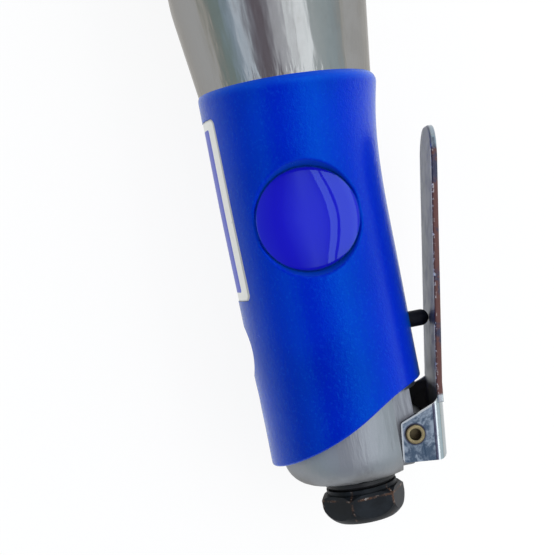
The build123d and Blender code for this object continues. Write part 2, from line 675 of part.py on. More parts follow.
def inlet_screen():
    """Pierced disc behind the shank."""
    x0 = SHANK_END + SEAT
    screen = rod_x(x0, x0 + SCREEN_THICK, SHANK_R - SEAT)
    screen -= rod_x(x0, x0 + SCREEN_THICK, SCREEN_HOLE_R)
    for k in range(SCREEN_HOLES):
        y, z = polar(SCREEN_PITCH_R, 2 * pi * k / SCREEN_HOLES)
        screen -= rod_x(x0, x0 + SCREEN_THICK, SCREEN_HOLE_R, y, z)
    return screen


def pad_y(back, depth=0.0):
    """Y of the pad's outside at a distance forward of the pivot, or depth inside it."""
    rise = HEEL_RISE if back < LEVER_KNEE else PAD_RISE
    knee = PIVOT_Y - PAD_STAND - LEVER_KNEE * tan(radians(HEEL_RISE))
    return knee - (back - LEVER_KNEE) * tan(radians(rise)) + depth


def throttle_lever():
    """Sheet-steel lever: a flat pad with two ears folded round the lug."""
    stops = (EAR_FRONT - LAP, LEVER_KNEE, LEVER_REACH)
    outside = [(PIVOT_X + s, pad_y(s)) for s in stops]
    inside = [(PIVOT_X + s, pad_y(s, SHEET)) for s in reversed(stops)]
    pad = across(make_face(Polyline(*outside, *inside, close=True)), LEVER_WIDTH)
    plan = Pos(PIVOT_X + LEVER_REACH / 2, 0) * Rectangle(LEVER_REACH, LEVER_WIDTH)
    plan = fillet(plan.vertices().group_by(Axis.X)[-1], TIP_ROUND)
    seen_along_y = Plane(origin=(0, 0, 0), x_dir=(1, 0, 0), z_dir=(0, -1, 0))
    pad &= extrude(seen_along_y * plan, 3 * BULGE_R)
    tip_x = PIVOT_X + LEVER_REACH - RUN
    rims = [e for e in pad.edges() if abs(e.tangent_at(0.5).Z) < 0.9 or e.center().X > tip_x]
    pad = fillet(rims, SHEET_ROUND)

    depth = 3 * PAD_STAND
    channel = Pos(0, -depth / 2) * Rectangle(LEVER_WIDTH, depth)
    channel = fillet(channel.vertices().group_by(Axis.Y)[-1], BEND_R)
    hollow = Pos(0, -depth / 2 - SHEET) * Rectangle(2 * EAR_INSIDE, depth)
    hollow = fillet(hollow.vertices().group_by(Axis.Y)[-1], BEND_R - SHEET)
    rise = radians(HEEL_RISE)
    heel = Plane(
        origin=(PIVOT_X - 2 * LEVER_HEEL, pad_y(-2 * LEVER_HEEL), 0),
        x_dir=(0, 0, 1),
        z_dir=(cos(rise), -sin(rise), 0),
    )
    fold = extrude(heel * (channel - hollow), 2 * LEVER_HEEL + LEVER_KNEE)
    corners = [(PIVOT_X + x, PIVOT_Y + y, 0) for x, y in EAR]
    ear = make_face(Polyline(*corners, close=True))
    for corner, radius in zip(corners, EAR_ROUNDS):
        if radius:
            ear = fillet(ear.vertices().sort_by_distance(corner)[0], radius)
    fold &= across(ear, LEVER_WIDTH)
    body = pad + fold
    return body - rod_z(-LEVER_WIDTH, LEVER_WIDTH, PIN_R + RUN, PIVOT_X, PIVOT_Y)


def lever_pin():
    """Semi-tubular rivet through the ears and the lug: rolled lip above, domed head below."""
    top = PIN_HALF + PIN_FLANGE
    lip = rod_z(PIN_HALF, top, PIN_R + PIN_LIP, PIVOT_X, PIVOT_Y)
    lip = fillet(lip.edges().sort_by(Axis.Z)[-1], PIN_ROUND)
    body = rod_z(-PIN_HALF - PIN_DOME, PIN_HALF, PIN_R, PIVOT_X, PIVOT_Y) + lip
    dome_r = (PIN_HEAD_R ** 2 + PIN_DOME ** 2) / (2 * PIN_DOME)
    head = rod_z(-PIN_HALF - PIN_DOME, -PIN_HALF, PIN_HEAD_R, PIVOT_X, PIVOT_Y)
    dome = Pos(PIVOT_X, PIVOT_Y, dome_r - PIN_HALF - PIN_DOME) * Sphere(dome_r)
    body = (body + head) & (dome + rod_z(-PIN_HALF, top, PIN_HEAD_R, PIVOT_X, PIVOT_Y))
    body -= rod_z(top - PIN_BORE_DEPTH, top, PIN_BORE_R, PIVOT_X, PIVOT_Y)
    mouth = body.edges().filter_by(GeomType.CIRCLE).sort_by(SortBy.RADIUS)
    return fillet([e for e in mouth if e.radius < PIN_R and abs(e.center().Z - top) < SEAT], PIN_MOUTH)


def valve_pieces():
    """Stem, guide, seal, seat, poppet, spring and plug of the throttle valve."""
    reach = VALVE_X - PIVOT_X
    stem_tip = pad_y(reach, SHEET) + RUN + STEM_R * (1 / cos(radians(PAD_RISE)) - 1)
    poppet_y = SEAT_FACE_Y + SEAT
    stem = rod_y(stem_tip + STEM_R, poppet_y + POPPET_LENGTH / 2, STEM_R, VALVE_X)
    stem += Pos(VALVE_X, stem_tip + STEM_R, 0) * Sphere(STEM_R)
    bush_y = GRIP_CORE_Y - core_reach(STEM_BUSH_R)
    bush_end = bush_y + STEM_BUSH_LENGTH
    guide = tube_y(bush_y, bush_end, STEM_BUSH_R, STEM_R + RUN, VALVE_X)
    ring_plane = Plane(origin=(VALVE_X, bush_end + O_RING_R + SEAT, 0), z_dir=(0, 1, 0))
    ring_section = Plane.XZ * Pos(STEM_R + RUN + O_RING_R, 0) * RegularPolygon(O_RING_R, RING_SIDES)
    seal = ring_plane * revolve(ring_section, Axis.Z)
    seat = tube_y(SEAT_FACE_Y - SEAT_THICK + SEAT, SEAT_FACE_Y, SEAT_R, SEAT_BORE_R, VALVE_X)
    poppet_end = poppet_y + POPPET_LENGTH
    poppet = rod_y(poppet_y, poppet_end, POPPET_R, VALVE_X)
    poppet = chamfer(poppet.edges().filter_by(GeomType.CIRCLE).sort_by(Axis.Y)[0], POPPET_LENGTH / 3)
    poppet += rod_y(poppet_end, poppet_end + POPPET_BOSS, POPPET_BOSS_R, VALVE_X)
    poppet -= rod_y(poppet_y, poppet_y + POPPET_LENGTH / 2 + SEAT, STEM_R + SEAT, VALVE_X)
    spring_y = poppet_end + SEAT
    spring_plane = Plane(origin=(VALVE_X, spring_y, 0), x_dir=(1, 0, 0), z_dir=(0, 1, 0))
    length = VALVE_PLUG_Y - spring_y - SEAT
    spring = spring_plane * coil(VALVE_SPRING_R, VALVE_WIRE_R, VALVE_TURNS, length)
    plug_end = GRIP_CORE_Y + core_reach(VALVE_PLUG_R)
    plug = rod_y(VALVE_PLUG_Y, plug_end, VALVE_PLUG_R, VALVE_X)
    key_plane = Plane(origin=(VALVE_X, (VALVE_PLUG_Y + plug_end) / 2, 0), z_dir=(0, 1, 0))
    key = RegularPolygon(PLUG_KEY_AF / 2, 6, major_radius=False)
    plug -= extrude(key_plane * key, plug_end)
    return {
        "valve_stem": stem,
        "stem_bushing": guide,
        "stem_o_ring": seal,
        "valve_seat": seat,
        "throttle_valve": poppet,
        "valve_spring": spring,
        "valve_plug": plug,
    }


def locating_hole(x0, x1, gap):
    """Dowel, or the hole for it, that keeps the motor's stack from turning."""
    return rod_x(x0, x1, LOCATING_PIN_R + gap, 0, -LOCATING_PITCH_R)


def motor_pieces():
    """End plates, bearings, eccentric liner, rotor and vanes."""
    rear_outer, rear_balls, rear_inner = bearing(MOTOR_X, REAR_SHAFT_R, REAR_BEARING_R, REAR_BALLS)
    front_x = GEAR_X - BEARING_WIDTH
    front_outer, front_balls, front_inner = bearing(front_x, FRONT_SHAFT_R, FRONT_BEARING_R, FRONT_BALLS)

    rear = rod_x(MOTOR_X + SEAT, LINER_X, MOTOR_R)
    rear -= rod_x(MOTOR_X, MOTOR_X + BEARING_WIDTH + SEAT, REAR_BEARING_R + SEAT)
    rear -= rod_x(MOTOR_X, LINER_X + LAP, REAR_SHAFT_R + AIR)
    front = rod_x(FRONT_PLATE_X, GEAR_X, MOTOR_R)
    front -= rod_x(front_x - SEAT, GEAR_X + LAP, FRONT_BEARING_R + SEAT)
    front -= rod_x(FRONT_PLATE_X - LAP, GEAR_X, FRONT_SHAFT_R + AIR)

    liner = rod_x(LINER_X, FRONT_PLATE_X, MOTOR_R)
    liner -= rod_x(LINER_X - LAP, FRONT_PLATE_X + LAP, LINER_BORE_R, 0, LINER_SHIFT)
    half_length, half_reach = [size / 2 for size in LINER_PORT]
    for k in range(LINER_PORTS):
        x = LINER_X + LINER_LENGTH * (k + 1) / (LINER_PORTS + 1)
        liner -= block(x - half_length, x + half_length, 0, MOTOR_R + LAP, -half_reach, half_reach)

    pin_x = LINER_X - PLATE / 2
    pin_end = FRONT_PLATE_X + PLATE / 2
    rear -= locating_hole(pin_x - SEAT, LINER_X + LAP, SEAT)
    liner -= locating_hole(LINER_X - LAP, FRONT_PLATE_X + LAP, SEAT)
    front -= locating_hole(FRONT_PLATE_X - LAP, pin_end + SEAT, SEAT)

    body_x = LINER_X + AIR
    body_end = FRONT_PLATE_X - AIR
    rotor = rod_x(body_x, body_end, ROTOR_R)
    vanes = []
    for k in range(VANES):
        turn = Rot(360 * k / VANES, 0, 0)
        half = VANE_THICK / 2
        slot = half + RUN
        floor = ROTOR_R - VANE_DEPTH
        rotor -= turn * block(body_x - LAP, body_end + LAP, -slot, slot, floor - AIR, ROTOR_R + LAP)
        vanes.append(turn * block(body_x, body_end, -half, half, floor - RUN, ROTOR_R - RUN))
    rotor += rod_x(MOTOR_X, body_x + LAP, REAR_SHAFT_R)
    rotor += rod_x(body_end - LAP, GEAR_X + SEAT, FRONT_SHAFT_R)
    sun = gear_face(SUN_TEETH, tip(SUN_TEETH), root(SUN_TEETH), FLANK_GAP)
    rotor += along_x(sun, GEAR_X, GEAR_END - RUN)
    return {
        "rear_end_plate": rear,
        "rear_bearing_outer": rear_outer,
        "rear_bearing_balls": rear_balls,
        "rear_bearing_inner": rear_inner,
        "cylinder_liner": liner,
        "locating_pin": locating_hole(pin_x, pin_end, 0),
        "rotor": rotor,
        "rotor_vanes": Compound(children=vanes),
        "front_end_plate": front,
        "front_bearing_outer": front_outer,
        "front_bearing_balls": front_balls,
        "front_bearing_inner": front_inner,
    }


def gear_pieces():
    """Ring gear, planets and their pins, all in mesh."""
    ring_hole = gear_face(RING_TEETH, tip(RING_TEETH, -1), root(RING_TEETH, -1), -FLANK_GAP)
    ring_hole = Rot(0, 0, 180 / RING_TEETH) * ring_hole
    pieces = {"ring_gear": along_x(Circle(MOTOR_R) - ring_hole, GEAR_X, GEAR_END)}
    planet = gear_face(PLANET_TEETH, tip(PLANET_TEETH), root(PLANET_TEETH), FLANK_GAP)
    planet -= Circle(PLANET_PIN_R + RUN)
    planet = Rot(0, 0, 180 / PLANET_TEETH) * planet
    pins = []
    for k in range(PLANETS):
        angle = pi / 2 + 2 * pi * k / PLANETS
        y, z = polar(CENTRES, angle)
        turned_planet = Pos(y, z) * Rot(0, 0, 90 + 360 * k / PLANETS) * planet
        pieces[f"planet_gear_{k + 1}"] = along_x(turned_planet, GEAR_X + AIR, GEAR_END - AIR)
        pins.append(rod_x(GEAR_X + AIR, PLANET_PIN_END - SEAT, PLANET_PIN_R, y, z))
    pieces["planet_pins"] = Compound(children=pins)
    return pieces


def crank_pieces():
    """Planet carrier with the crank pin, its washer and bush, and the drive bushing."""
    crank = rod_x(CARRIER_X, CARRIER_END, CARRIER_R)
    for k in range(PLANETS):
        y, z = polar(CENTRES, pi / 2 + 2 * pi * k / PLANETS)
        crank -= rod_x(CARRIER_X - LAP, PLANET_PIN_END, PLANET_PIN_R + SEAT, y, z)
    crank += rod_x(CARRIER_END, CRANK_END, CRANK_R)
    pin_end = DRIVE_BUSH_X + DRIVE_BUSH_LENGTH + AIR
    crank += rod_x(CRANK_END, pin_end, CRANK_PIN_R, 0, -THROW)
    bush = rod_x(DRIVE_BUSH_X, DRIVE_BUSH_X + DRIVE_BUSH_LENGTH, DRIVE_BUSH_R, 0, -THROW)
    bush = chamfer(bush.edges().filter_by(GeomType.CIRCLE), (DRIVE_BUSH_R - CRANK_PIN_R) / 3)
    bush -= rod_x(CRANK_END, pin_end, CRANK_PIN_R + SEAT, 0, -THROW)
    washer_x = CARRIER_END + SEAT
    return {
        "crankshaft": crank,
        "drive_bushing": bush,
        "crank_washer": tube_x(washer_x, washer_x + WASHER_THICK, CARRIER_R - AIR, CRANK_R + AIR),
        "crank_bush": tube_x(CRANK_BUSH_X, CRANK_BUSH_END, CRANK_BUSH_R, CRANK_R + RUN),
    }


def clamp_nut():
    """Nut that draws the neck's flange against the casting, notched for a hook spanner."""
    body = rod_x(NUT_X + RUN, NUT_END, BULGE_R)
    body = chamfer(body.edges().filter_by(GeomType.CIRCLE), NUT_BEVEL)
    body -= rod_x(NUT_X, FLANGE_END + SEAT, THREAD_R + SEAT)
    body -= rod_x(NUT_X, NUT_END + LAP, NECK_R + AIR)
    middle = (NUT_X + NUT_END) / 2
    for k in range(NUT_NOTCHES):
        y, z = polar(BULGE_R + NUT_NOTCH_R / 2, 2 * pi * k / NUT_NOTCHES)
        body -= rod_x(middle, NUT_END + LAP, NUT_NOTCH_R, y, z)
    return body


def ratchet_housing():
    """Flanged neck that flattens into the two cheeks of the head."""
    neck_end = FLANGE_END + NECK_ROUND_LENGTH
    blend_end = HEAD_X - HEAD_BACK
    round_end = Plane(origin=(neck_end, 0, 0), x_dir=(0, 1, 0), z_dir=(1, 0, 0))
    flat_end = Plane(origin=(blend_end, 0, 0), x_dir=(0, 1, 0), z_dir=(1, 0, 0))
    section = RectangleRounded(2 * HEAD_HALF, 2 * NECK_HALF, HEAD_ROUND)
    paddle = Circle(HEAD_R) + Pos(-HEAD_BACK / 2, 0) * Rectangle(HEAD_BACK, 2 * NECK_HALF)
    head = in_head(paddle, -HEAD_HALF, HEAD_HALF)
    rims = head.faces().filter_by(Axis.Y).edges()
    rims = [edge for edge in rims if edge.center().X > blend_end + SEAT]
    body = fillet(rims, HEAD_ROUND)
    body += loft([round_end * Circle(NECK_R), flat_end * section])
    body += rod_x(CASE_END, neck_end, NECK_R)
    body += rod_x(GEAR_END + SEAT, CASE_END, MOTOR_R)
    body += rod_x(CASE_END + SEAT, FLANGE_END, FLANGE_R)
    body -= rod_x(GEAR_END, CRANK_CAVITY_END, CARRIER_R + 2 * AIR)
    body -= rod_x(GEAR_END, CRANK_BUSH_END + SEAT, CRANK_BUSH_R + SEAT)
    body -= rod_x(GEAR_END, CRANK_END + AIR, CRANK_R + AIR)
    mouth_x = HEAD_X - YOKE_R
    body -= block(CRANK_END + AIR, mouth_x + LAP, -SLOT_HALF, SLOT_HALF, -CAVITY_HALF, CAVITY_HALF)
    far = 2 * HEAD_R
    body -= block(mouth_x, HEAD_X + far, -SLOT_HALF, SLOT_HALF, -far, far)
    body -= rod_y(0, far, JOURNAL_R + RUN, HEAD_X)
    body -= rod_y(-far, 0, BACK_JOURNAL_R + RUN, HEAD_X)
    body -= rod_y(-far, -HEAD_HALF + COUNTERBORE, COUNTERBORE_R, HEAD_X)
    return body


def ratchet_yoke():
    """Toothed ring with the fork that the crank swings, at one end of its stroke."""
    blank = Circle(YOKE_R)
    blank += Pos(-TAIL_END / 2, 0) * Rectangle(TAIL_END, 2 * TAIL_HALF)
    fork_floor = CRANK_ARM - DRIVE_BUSH_LENGTH / 2 - 4 * AIR
    blank -= Pos(-fork_floor - CRANK_ARM / 2, 0) * Rectangle(CRANK_ARM, 2 * FORK_HALF)
    blank = Rot(0, 0, -90 * STROKE / pi) * blank
    return in_head(blank - ratchet_hole(0), -YOKE_THICK / 2, YOKE_THICK / 2)


def tilt_pawl(sketch, angle):
    """Rock a sketch about the pawl's pivot."""
    return Pos(PAWL_PIVOT, 0) * Rot(0, 0, angle) * Pos(-PAWL_PIVOT, 0) * sketch


def pawl_pieces():
    """Two-ended pawl, cut to the yoke's teeth over its whole rocking travel, and its pin."""
    far = 2 * PAWL_R
    rise = far * tan(radians(PAWL_SPAN))
    wedge = make_face(Polyline((0, 0), (far, -rise), (far, rise), close=True))
    blank = (Circle(PAWL_R) & wedge) - Pos(PAWL_FLAT - far, 0) * Rectangle(2 * far, 2 * far)
    teeth = Circle(2 * TOOTH_ROOT_R) - ratchet_hole(TOOTH_GAP)
    for k in range(-PAWL_STEPS, PAWL_STEPS + 1):
        angle = PAWL_TILT * k / PAWL_STEPS
        blank = tilt_pawl(tilt_pawl(blank, angle) - teeth, -angle)
    blank -= Pos(PAWL_PIVOT, 0) * Circle(PAWL_PIN_R + RUN)
    return {
        "ratchet_pawl": in_head(blank, -PAWL_HALF, PAWL_HALF),
        "pawl_pin": rod_y(-PAWL_PIN_HALF, PAWL_PIN_HALF, PAWL_PIN_R, HEAD_X + PAWL_PIVOT),
    }


def ratchet_anvil():
    """Drive spindle: square end, journals, pawl slot and the bore for the reverse knob."""
    back_end = -HEAD_HALF + AIR
    collar_end = HEAD_HALF + COLLAR
    body = rod_y(-YOKE_THICK / 2, SLOT_HALF, ANVIL_R, HEAD_X)
    body += rod_y(SLOT_HALF, collar_end, JOURNAL_R, HEAD_X)
    body += rod_y(back_end, -YOKE_THICK / 2, BACK_JOURNAL_R, HEAD_X)
    square = in_head(Rectangle(SQUARE, SQUARE), collar_end, ANVIL_END_Y)
    square = chamfer(square.edges().filter_by(Axis.Y), SQUARE_EDGE)
    square = chamfer(square.faces().sort_by(Axis.Y)[-1].edges(), SQUARE_END)
    body += square
    slot = Pos(PAWL_SLOT_FLOOR + ANVIL_R, 0) * Rectangle(2 * ANVIL_R, 2 * PAWL_SLOT_HALF)
    body -= in_head(slot, -PAWL_HALF - RUN, PAWL_HALF + RUN)
    pin_hole = PAWL_PIN_HALF + SEAT
    body -= rod_y(-pin_hole, pin_hole, PAWL_PIN_R + SEAT, HEAD_X + PAWL_PIVOT)
    body -= rod_y(back_end - LAP, KNOB_SHAFT_END + AIR, KNOB_SHAFT_R + RUN, HEAD_X)
    spread = 2 * PLUNGER_TIP * tan(radians(KNOB_TURN + PLUNGER_PLAY))
    sweep_wedge = make_face(
        Polyline((0, 0), (2 * PLUNGER_TIP, -spread), (2 * PLUNGER_TIP, spread), close=True)
    )
    window = Circle(PLUNGER_TIP + AIR) & sweep_wedge
    body -= in_head(window, -PLUNGER_R - AIR, PLUNGER_R + AIR)
    groove_y = -HEAD_HALF + COUNTERBORE - ANVIL_WASHER - 2 * SEAT
    groove_r = BACK_JOURNAL_R - RING_GROOVE
    body -= tube_y(groove_y - ANVIL_RING - SEAT, groove_y + SEAT, 2 * BACK_JOURNAL_R, groove_r, HEAD_X)
    side_x = HEAD_X + SQUARE / 2
    return body - rod_x(side_x - DETENT_DEPTH, side_x + LAP, DETENT_R + RUN, DETENT_Y)


def anvil_rings():
    """Washer in the counterbore and the snap ring that holds the anvil."""
    washer_y = -HEAD_HALF + COUNTERBORE - SEAT
    ring_y = washer_y - ANVIL_WASHER - SEAT
    washer_bore = BACK_JOURNAL_R + 2 * RUN
    washer = tube_y(washer_y - ANVIL_WASHER, washer_y, COUNTERBORE_R - RUN, washer_bore, HEAD_X)
    ring_bore = BACK_JOURNAL_R - RING_GROOVE + SEAT
    ring = tube_y(ring_y - ANVIL_RING, ring_y, ANVIL_RING_R, ring_bore, HEAD_X)
    ring -= block(HEAD_X, HEAD_X + HEAD_R, -HEAD_HALF, 0, -RING_MOUTH, RING_MOUTH)
    return {"anvil_washer": washer, "anvil_ring": ring}


def knob_pieces():
    """Reverse knob with its shaft, and the sprung plunger that rocks the pawl."""
    face_y = -HEAD_HALF - AIR
    top_y = face_y - KNOB_THICK
    body = rod_y(top_y, face_y, KNOB_R, HEAD_X)
    body = fillet(body.edges().filter_by(GeomType.CIRCLE).sort_by(Axis.Y)[0], KNOB_ROUND)
    bar_length, bar_width = KNOB_BAR
    bar = in_head(SlotOverall(bar_length, bar_width), top_y - KNOB_BAR_HEIGHT, face_y)
    body += fillet(bar.faces().sort_by(Axis.Y)[0].edges(), KNOB_ROUND)
    body += rod_y(face_y, KNOB_SHAFT_END, KNOB_SHAFT_R, HEAD_X)
    body -= rod_x(HEAD_X + PLUNGER_HOLE_END, HEAD_X + PLUNGER_TIP, PLUNGER_R + SEAT)
    plunger = rod_x(HEAD_X + PLUNGER_TAIL, HEAD_X + PLUNGER_TIP - PLUNGER_R, PLUNGER_R)
    plunger += Pos(HEAD_X + PLUNGER_TIP - PLUNGER_R, 0, 0) * Sphere(PLUNGER_R)
    length = PLUNGER_TAIL - PLUNGER_HOLE_END - 2 * SEAT
    spring_plane = Plane(origin=(HEAD_X + PLUNGER_HOLE_END + SEAT, 0, 0), z_dir=(1, 0, 0))
    spring = spring_plane * coil(PLUNGER_SPRING_R, PLUNGER_WIRE_R, PLUNGER_TURNS, length)
    return {"reverse_knob": body, "pawl_plunger": plunger, "plunger_spring": spring}


def detent_pieces():
    """Ball and spring that hold a socket on the square."""
    ball_x = HEAD_X + SQUARE / 2 + DETENT_OUT - DETENT_R
    spring_x = HEAD_X + SQUARE / 2 - DETENT_DEPTH + SEAT
    length = ball_x - DETENT_R - SEAT - spring_x
    spring_plane = Plane(origin=(spring_x, DETENT_Y, 0), z_dir=(1, 0, 0))
    spring = spring_plane * coil(DETENT_SPRING_R, DETENT_WIRE_R, DETENT_TURNS, length)
    return {"detent_ball": Pos(ball_x, DETENT_Y, 0) * Sphere(DETENT_R), "detent_spring": spring}


def all_pieces():
    """Every node of the tool by name."""
    pieces = {
        "motor_housing": motor_housing(),
        "grip_sleeve": grip_sleeve(),
        "badge_disc": badge_disc(),
        "side_label": side_label(),
        "inlet_bushing": inlet_bushing(),
        "inlet_seal": inlet_seal(),
        "inlet_screen": inlet_screen(),
        "throttle_lever": throttle_lever(),
        "lever_pin": lever_pin(),
        "clamp_nut": clamp_nut(),
        "ratchet_housing": ratchet_housing(),
        "ratchet_yoke": ratchet_yoke(),
        "ratchet_anvil": ratchet_anvil(),
    }
    groups = (valve_pieces, motor_pieces, gear_pieces, crank_pieces, pawl_pieces)
    groups += (anvil_rings, knob_pieces, detent_pieces)
    for group in groups:
        pieces.update(group())
    return pieces


os.makedirs("parts", exist_ok=True)
for name, shape in all_pieces().items():
    export_step(shape, f"parts/{name}.step")
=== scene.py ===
"""Air ratchet wrench: finishes, fitted details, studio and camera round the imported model.

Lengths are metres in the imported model's frame: the tool lies along X with the mouth of its air
inlet at the origin, the round badge looks up along +Z, the throttle lever is on the -Y side and the
square drive on the +Y side.
"""

import logging
import math
from dataclasses import dataclass
from enum import Enum
from typing import Optional, Union

import bpy
from mathutils import Matrix, Vector


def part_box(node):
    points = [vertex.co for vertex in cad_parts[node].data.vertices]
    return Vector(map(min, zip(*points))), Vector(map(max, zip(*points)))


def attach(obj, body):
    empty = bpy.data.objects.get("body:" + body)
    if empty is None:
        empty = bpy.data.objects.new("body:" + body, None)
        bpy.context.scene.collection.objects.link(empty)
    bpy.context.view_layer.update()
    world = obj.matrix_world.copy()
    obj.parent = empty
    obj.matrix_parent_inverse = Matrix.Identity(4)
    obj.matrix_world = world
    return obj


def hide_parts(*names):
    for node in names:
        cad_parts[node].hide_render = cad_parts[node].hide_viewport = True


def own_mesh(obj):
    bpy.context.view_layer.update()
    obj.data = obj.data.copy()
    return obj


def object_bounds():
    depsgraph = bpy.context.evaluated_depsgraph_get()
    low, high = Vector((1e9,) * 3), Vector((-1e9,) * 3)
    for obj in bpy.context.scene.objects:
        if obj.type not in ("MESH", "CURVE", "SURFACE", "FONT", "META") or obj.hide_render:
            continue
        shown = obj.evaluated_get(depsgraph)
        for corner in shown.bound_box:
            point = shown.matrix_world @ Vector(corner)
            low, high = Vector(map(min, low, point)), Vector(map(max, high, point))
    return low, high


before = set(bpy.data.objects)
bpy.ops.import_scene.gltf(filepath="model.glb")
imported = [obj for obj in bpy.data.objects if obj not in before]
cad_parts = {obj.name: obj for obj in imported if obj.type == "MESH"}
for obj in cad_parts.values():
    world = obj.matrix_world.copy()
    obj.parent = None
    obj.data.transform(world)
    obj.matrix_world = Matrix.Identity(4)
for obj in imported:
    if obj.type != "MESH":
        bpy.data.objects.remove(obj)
CAD_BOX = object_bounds()
LOG = logging.getLogger("air_ratchet")

Colour = tuple[float, float, float]
Pair = tuple[float, float]
Point = tuple[float, float, float]
Stops = tuple[tuple[float, Colour], ...]

EVEN: Point = (1.0, 1.0, 1.0)
WHITE: Colour = (1.0, 1.0, 1.0)
MERGE = 0.000001
SMOOTH_ANGLE = math.radians(30.0)


def middle(node: str) -> Vector:
    """Middle of a CAD node's box."""
    low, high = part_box(node)
    return (Vector(low) + Vector(high)) / 2.0


BADGE_AT = middle("badge_disc")
BADGE_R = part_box("badge_disc")[1][0] - BADGE_AT.x
LABEL_AT = middle("side_label")
PIVOT_AT = middle("lever_pin")
DRIVE_AT = middle("anvil_washer")
# Wear at the sleeve's raked rim is full at RIM_X on the axis, set back from its foremost point.
RIM_SETBACK = 0.0014
RIM_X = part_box("grip_sleeve")[1][0] - RIM_SETBACK
RIM_RAKE = math.tan(math.radians(3.5))
LEVER_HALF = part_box("throttle_lever")[1][2]


class Slot(Enum):
    """Material slots of the record that suit the new pieces."""

    BADGE = "badge_violet"
    CHROME = "chromed_sheet"
    BLACK_STEEL = "black_steel"
    SPRING = "spring_steel"


class Lay(Enum):
    """The way that tool marks run over a machined surface."""

    PLAIN = "no direction"
    ALONG = "along the tool"
    ROUND_TOOL = "turned about the tool's axis"
    ROUND_DRIVE = "turned about the drive's axis"
    ROUND_PIVOT = "turned about the lever's pivot"


class Value:
    """A number or colour that varies over a surface; numbers take part in Python arithmetic."""

    def __init__(self, sheet: "NodeSheet", socket: bpy.types.NodeSocket) -> None:
        """Keeps the socket and the sheet that its nodes go on."""
        self.sheet = sheet
        self.socket = socket

    def math(self, operation: str, *terms: "Term") -> "Value":
        """One Math node on these terms."""
        return self.sheet.node("ShaderNodeMath", {"operation": operation}, dict(enumerate(terms)))

    def __add__(self, other: "Term") -> "Value":
        """Sum."""
        return self.math("ADD", self, other)

    __radd__ = __add__

    def __sub__(self, other: "Term") -> "Value":
        """Difference."""
        return self.math("SUBTRACT", self, other)

    def __rsub__(self, other: "Term") -> "Value":
        """Difference from a number."""
        return self.math("SUBTRACT", other, self)

    def __mul__(self, other: "Term") -> "Value":
        """Product."""
        return self.math("MULTIPLY", self, other)

    def __pow__(self, other: "Term") -> "Value":
        """Power."""
        return self.math("POWER", self, other)

    def __mod__(self, other: "Term") -> "Value":
        """Remainder that is never negative."""
        return self.math("FLOORED_MODULO", self, other)

    def __abs__(self) -> "Value":
        """Size without its sign."""
        return self.math("ABSOLUTE", self)

    def most(self, other: "Term") -> "Value":
        """The larger of two."""
        return self.math("MAXIMUM", self, other)

    def least(self, other: "Term") -> "Value":
        """The smaller of two."""
        return self.math("MINIMUM", self, other)

    def beside(self, other: "Term") -> "Value":
        """Length of the hypotenuse over two sides."""
        return (self * self + other * other) ** 0.5

    def angle(self, other: "Term") -> "Value":
        """Angle of the direction (other, self), in radians."""
        return self.math("ARCTAN2", self, other)

    def between(self, low: float, high: float) -> "Value":
        """Smooth step.

        Args:
            low: where it is 0.
            high: where it is 1, which may be the lower of the two.

        Returns:
            The step, from 0 to 1.
        """
        if low > high:
            return 1.0 - self.between(high, low)
        return self.sheet.node(
            "ShaderNodeMapRange",
            {"interpolation_type": "SMOOTHSTEP"},
            {"Value": self, "From Min": low, "From Max": high},
        )


Term = Union[Value, float]


class NodeSheet:
    """A node tree that is written in Python expressions."""

    def __init__(self, tree: bpy.types.NodeTree) -> None:
        """Starts from an empty tree."""
        self.tree = tree
        tree.nodes.clear()

    @staticmethod
    def pick(sockets: bpy.types.bpy_prop_collection, key: Union[int, str]) -> bpy.types.NodeSocket:
        """Finds a socket.

        Args:
            sockets: a node's inputs or outputs.
            key: the socket's index, identifier or name.

        Returns:
            The socket.
        """
        if isinstance(key, int):
            return sockets[key]
        for socket in sockets:
            if socket.identifier == key:
                return socket
        return sockets[key]

    def node(
        self, kind: str, settings: dict, inputs: dict, output: Union[int, str] = 0
    ) -> Value:
        """Adds one node.

        Args:
            kind: the node's type.
            settings: its properties; "stops" are a ramp's places and colours.
            inputs: values or links of its sockets.
            output: the output socket that is wanted.

        Returns:
            That output.
        """
        made = self.tree.nodes.new(kind)
        for name, value in settings.items():
            if name == "stops":
                self.set_stops(made.color_ramp, value)
            else:
                setattr(made, name, value)
        for key, value in inputs.items():
            socket = self.pick(made.inputs, key)
            if isinstance(value, Value):
                self.tree.links.new(value.socket, socket)
            elif socket.type == "RGBA":
                socket.default_value = (*value, 1.0)
            else:
                socket.default_value = value
        return Value(self, self.pick(made.outputs, output))

    @staticmethod
    def set_stops(ramp: bpy.types.ColorRamp, stops: Stops) -> None:
        """Sets a ramp's places and colours.

        Args:
            ramp: the ramp of a Color Ramp node.
            stops: places from 0 to 1, in order, with their colours.
        """
        while len(ramp.elements) < len(stops):
            ramp.elements.new(1.0)
        for element, (place, colour) in zip(ramp.elements, stops):
            element.position = place
            element.color = (*colour, 1.0)

    def mix(self, share: Term, first: Union[Value, Colour], second: Union[Value, Colour]) -> Value:
        """Goes from the first colour to the second as share goes from 0 to 1."""
        return self.node(
            "ShaderNodeMix",
            {"data_type": "RGBA"},
            {"Factor_Float": share, "A_Color": first, "B_Color": second},
            "Result_Color",
        )

    def parts(self, vector: Value) -> tuple[Value, Value, Value]:
        """The three numbers of a vector."""
        made = self.node("ShaderNodeSeparateXYZ", {}, {0: vector})
        outputs = made.socket.node.outputs
        return made, Value(self, outputs[1]), Value(self, outputs[2])

    def vector(self, x: Term, y: Term, z: Term) -> Value:
        """A vector of three numbers."""
        return self.node("ShaderNodeCombineXYZ", {}, {0: x, 1: y, 2: z})


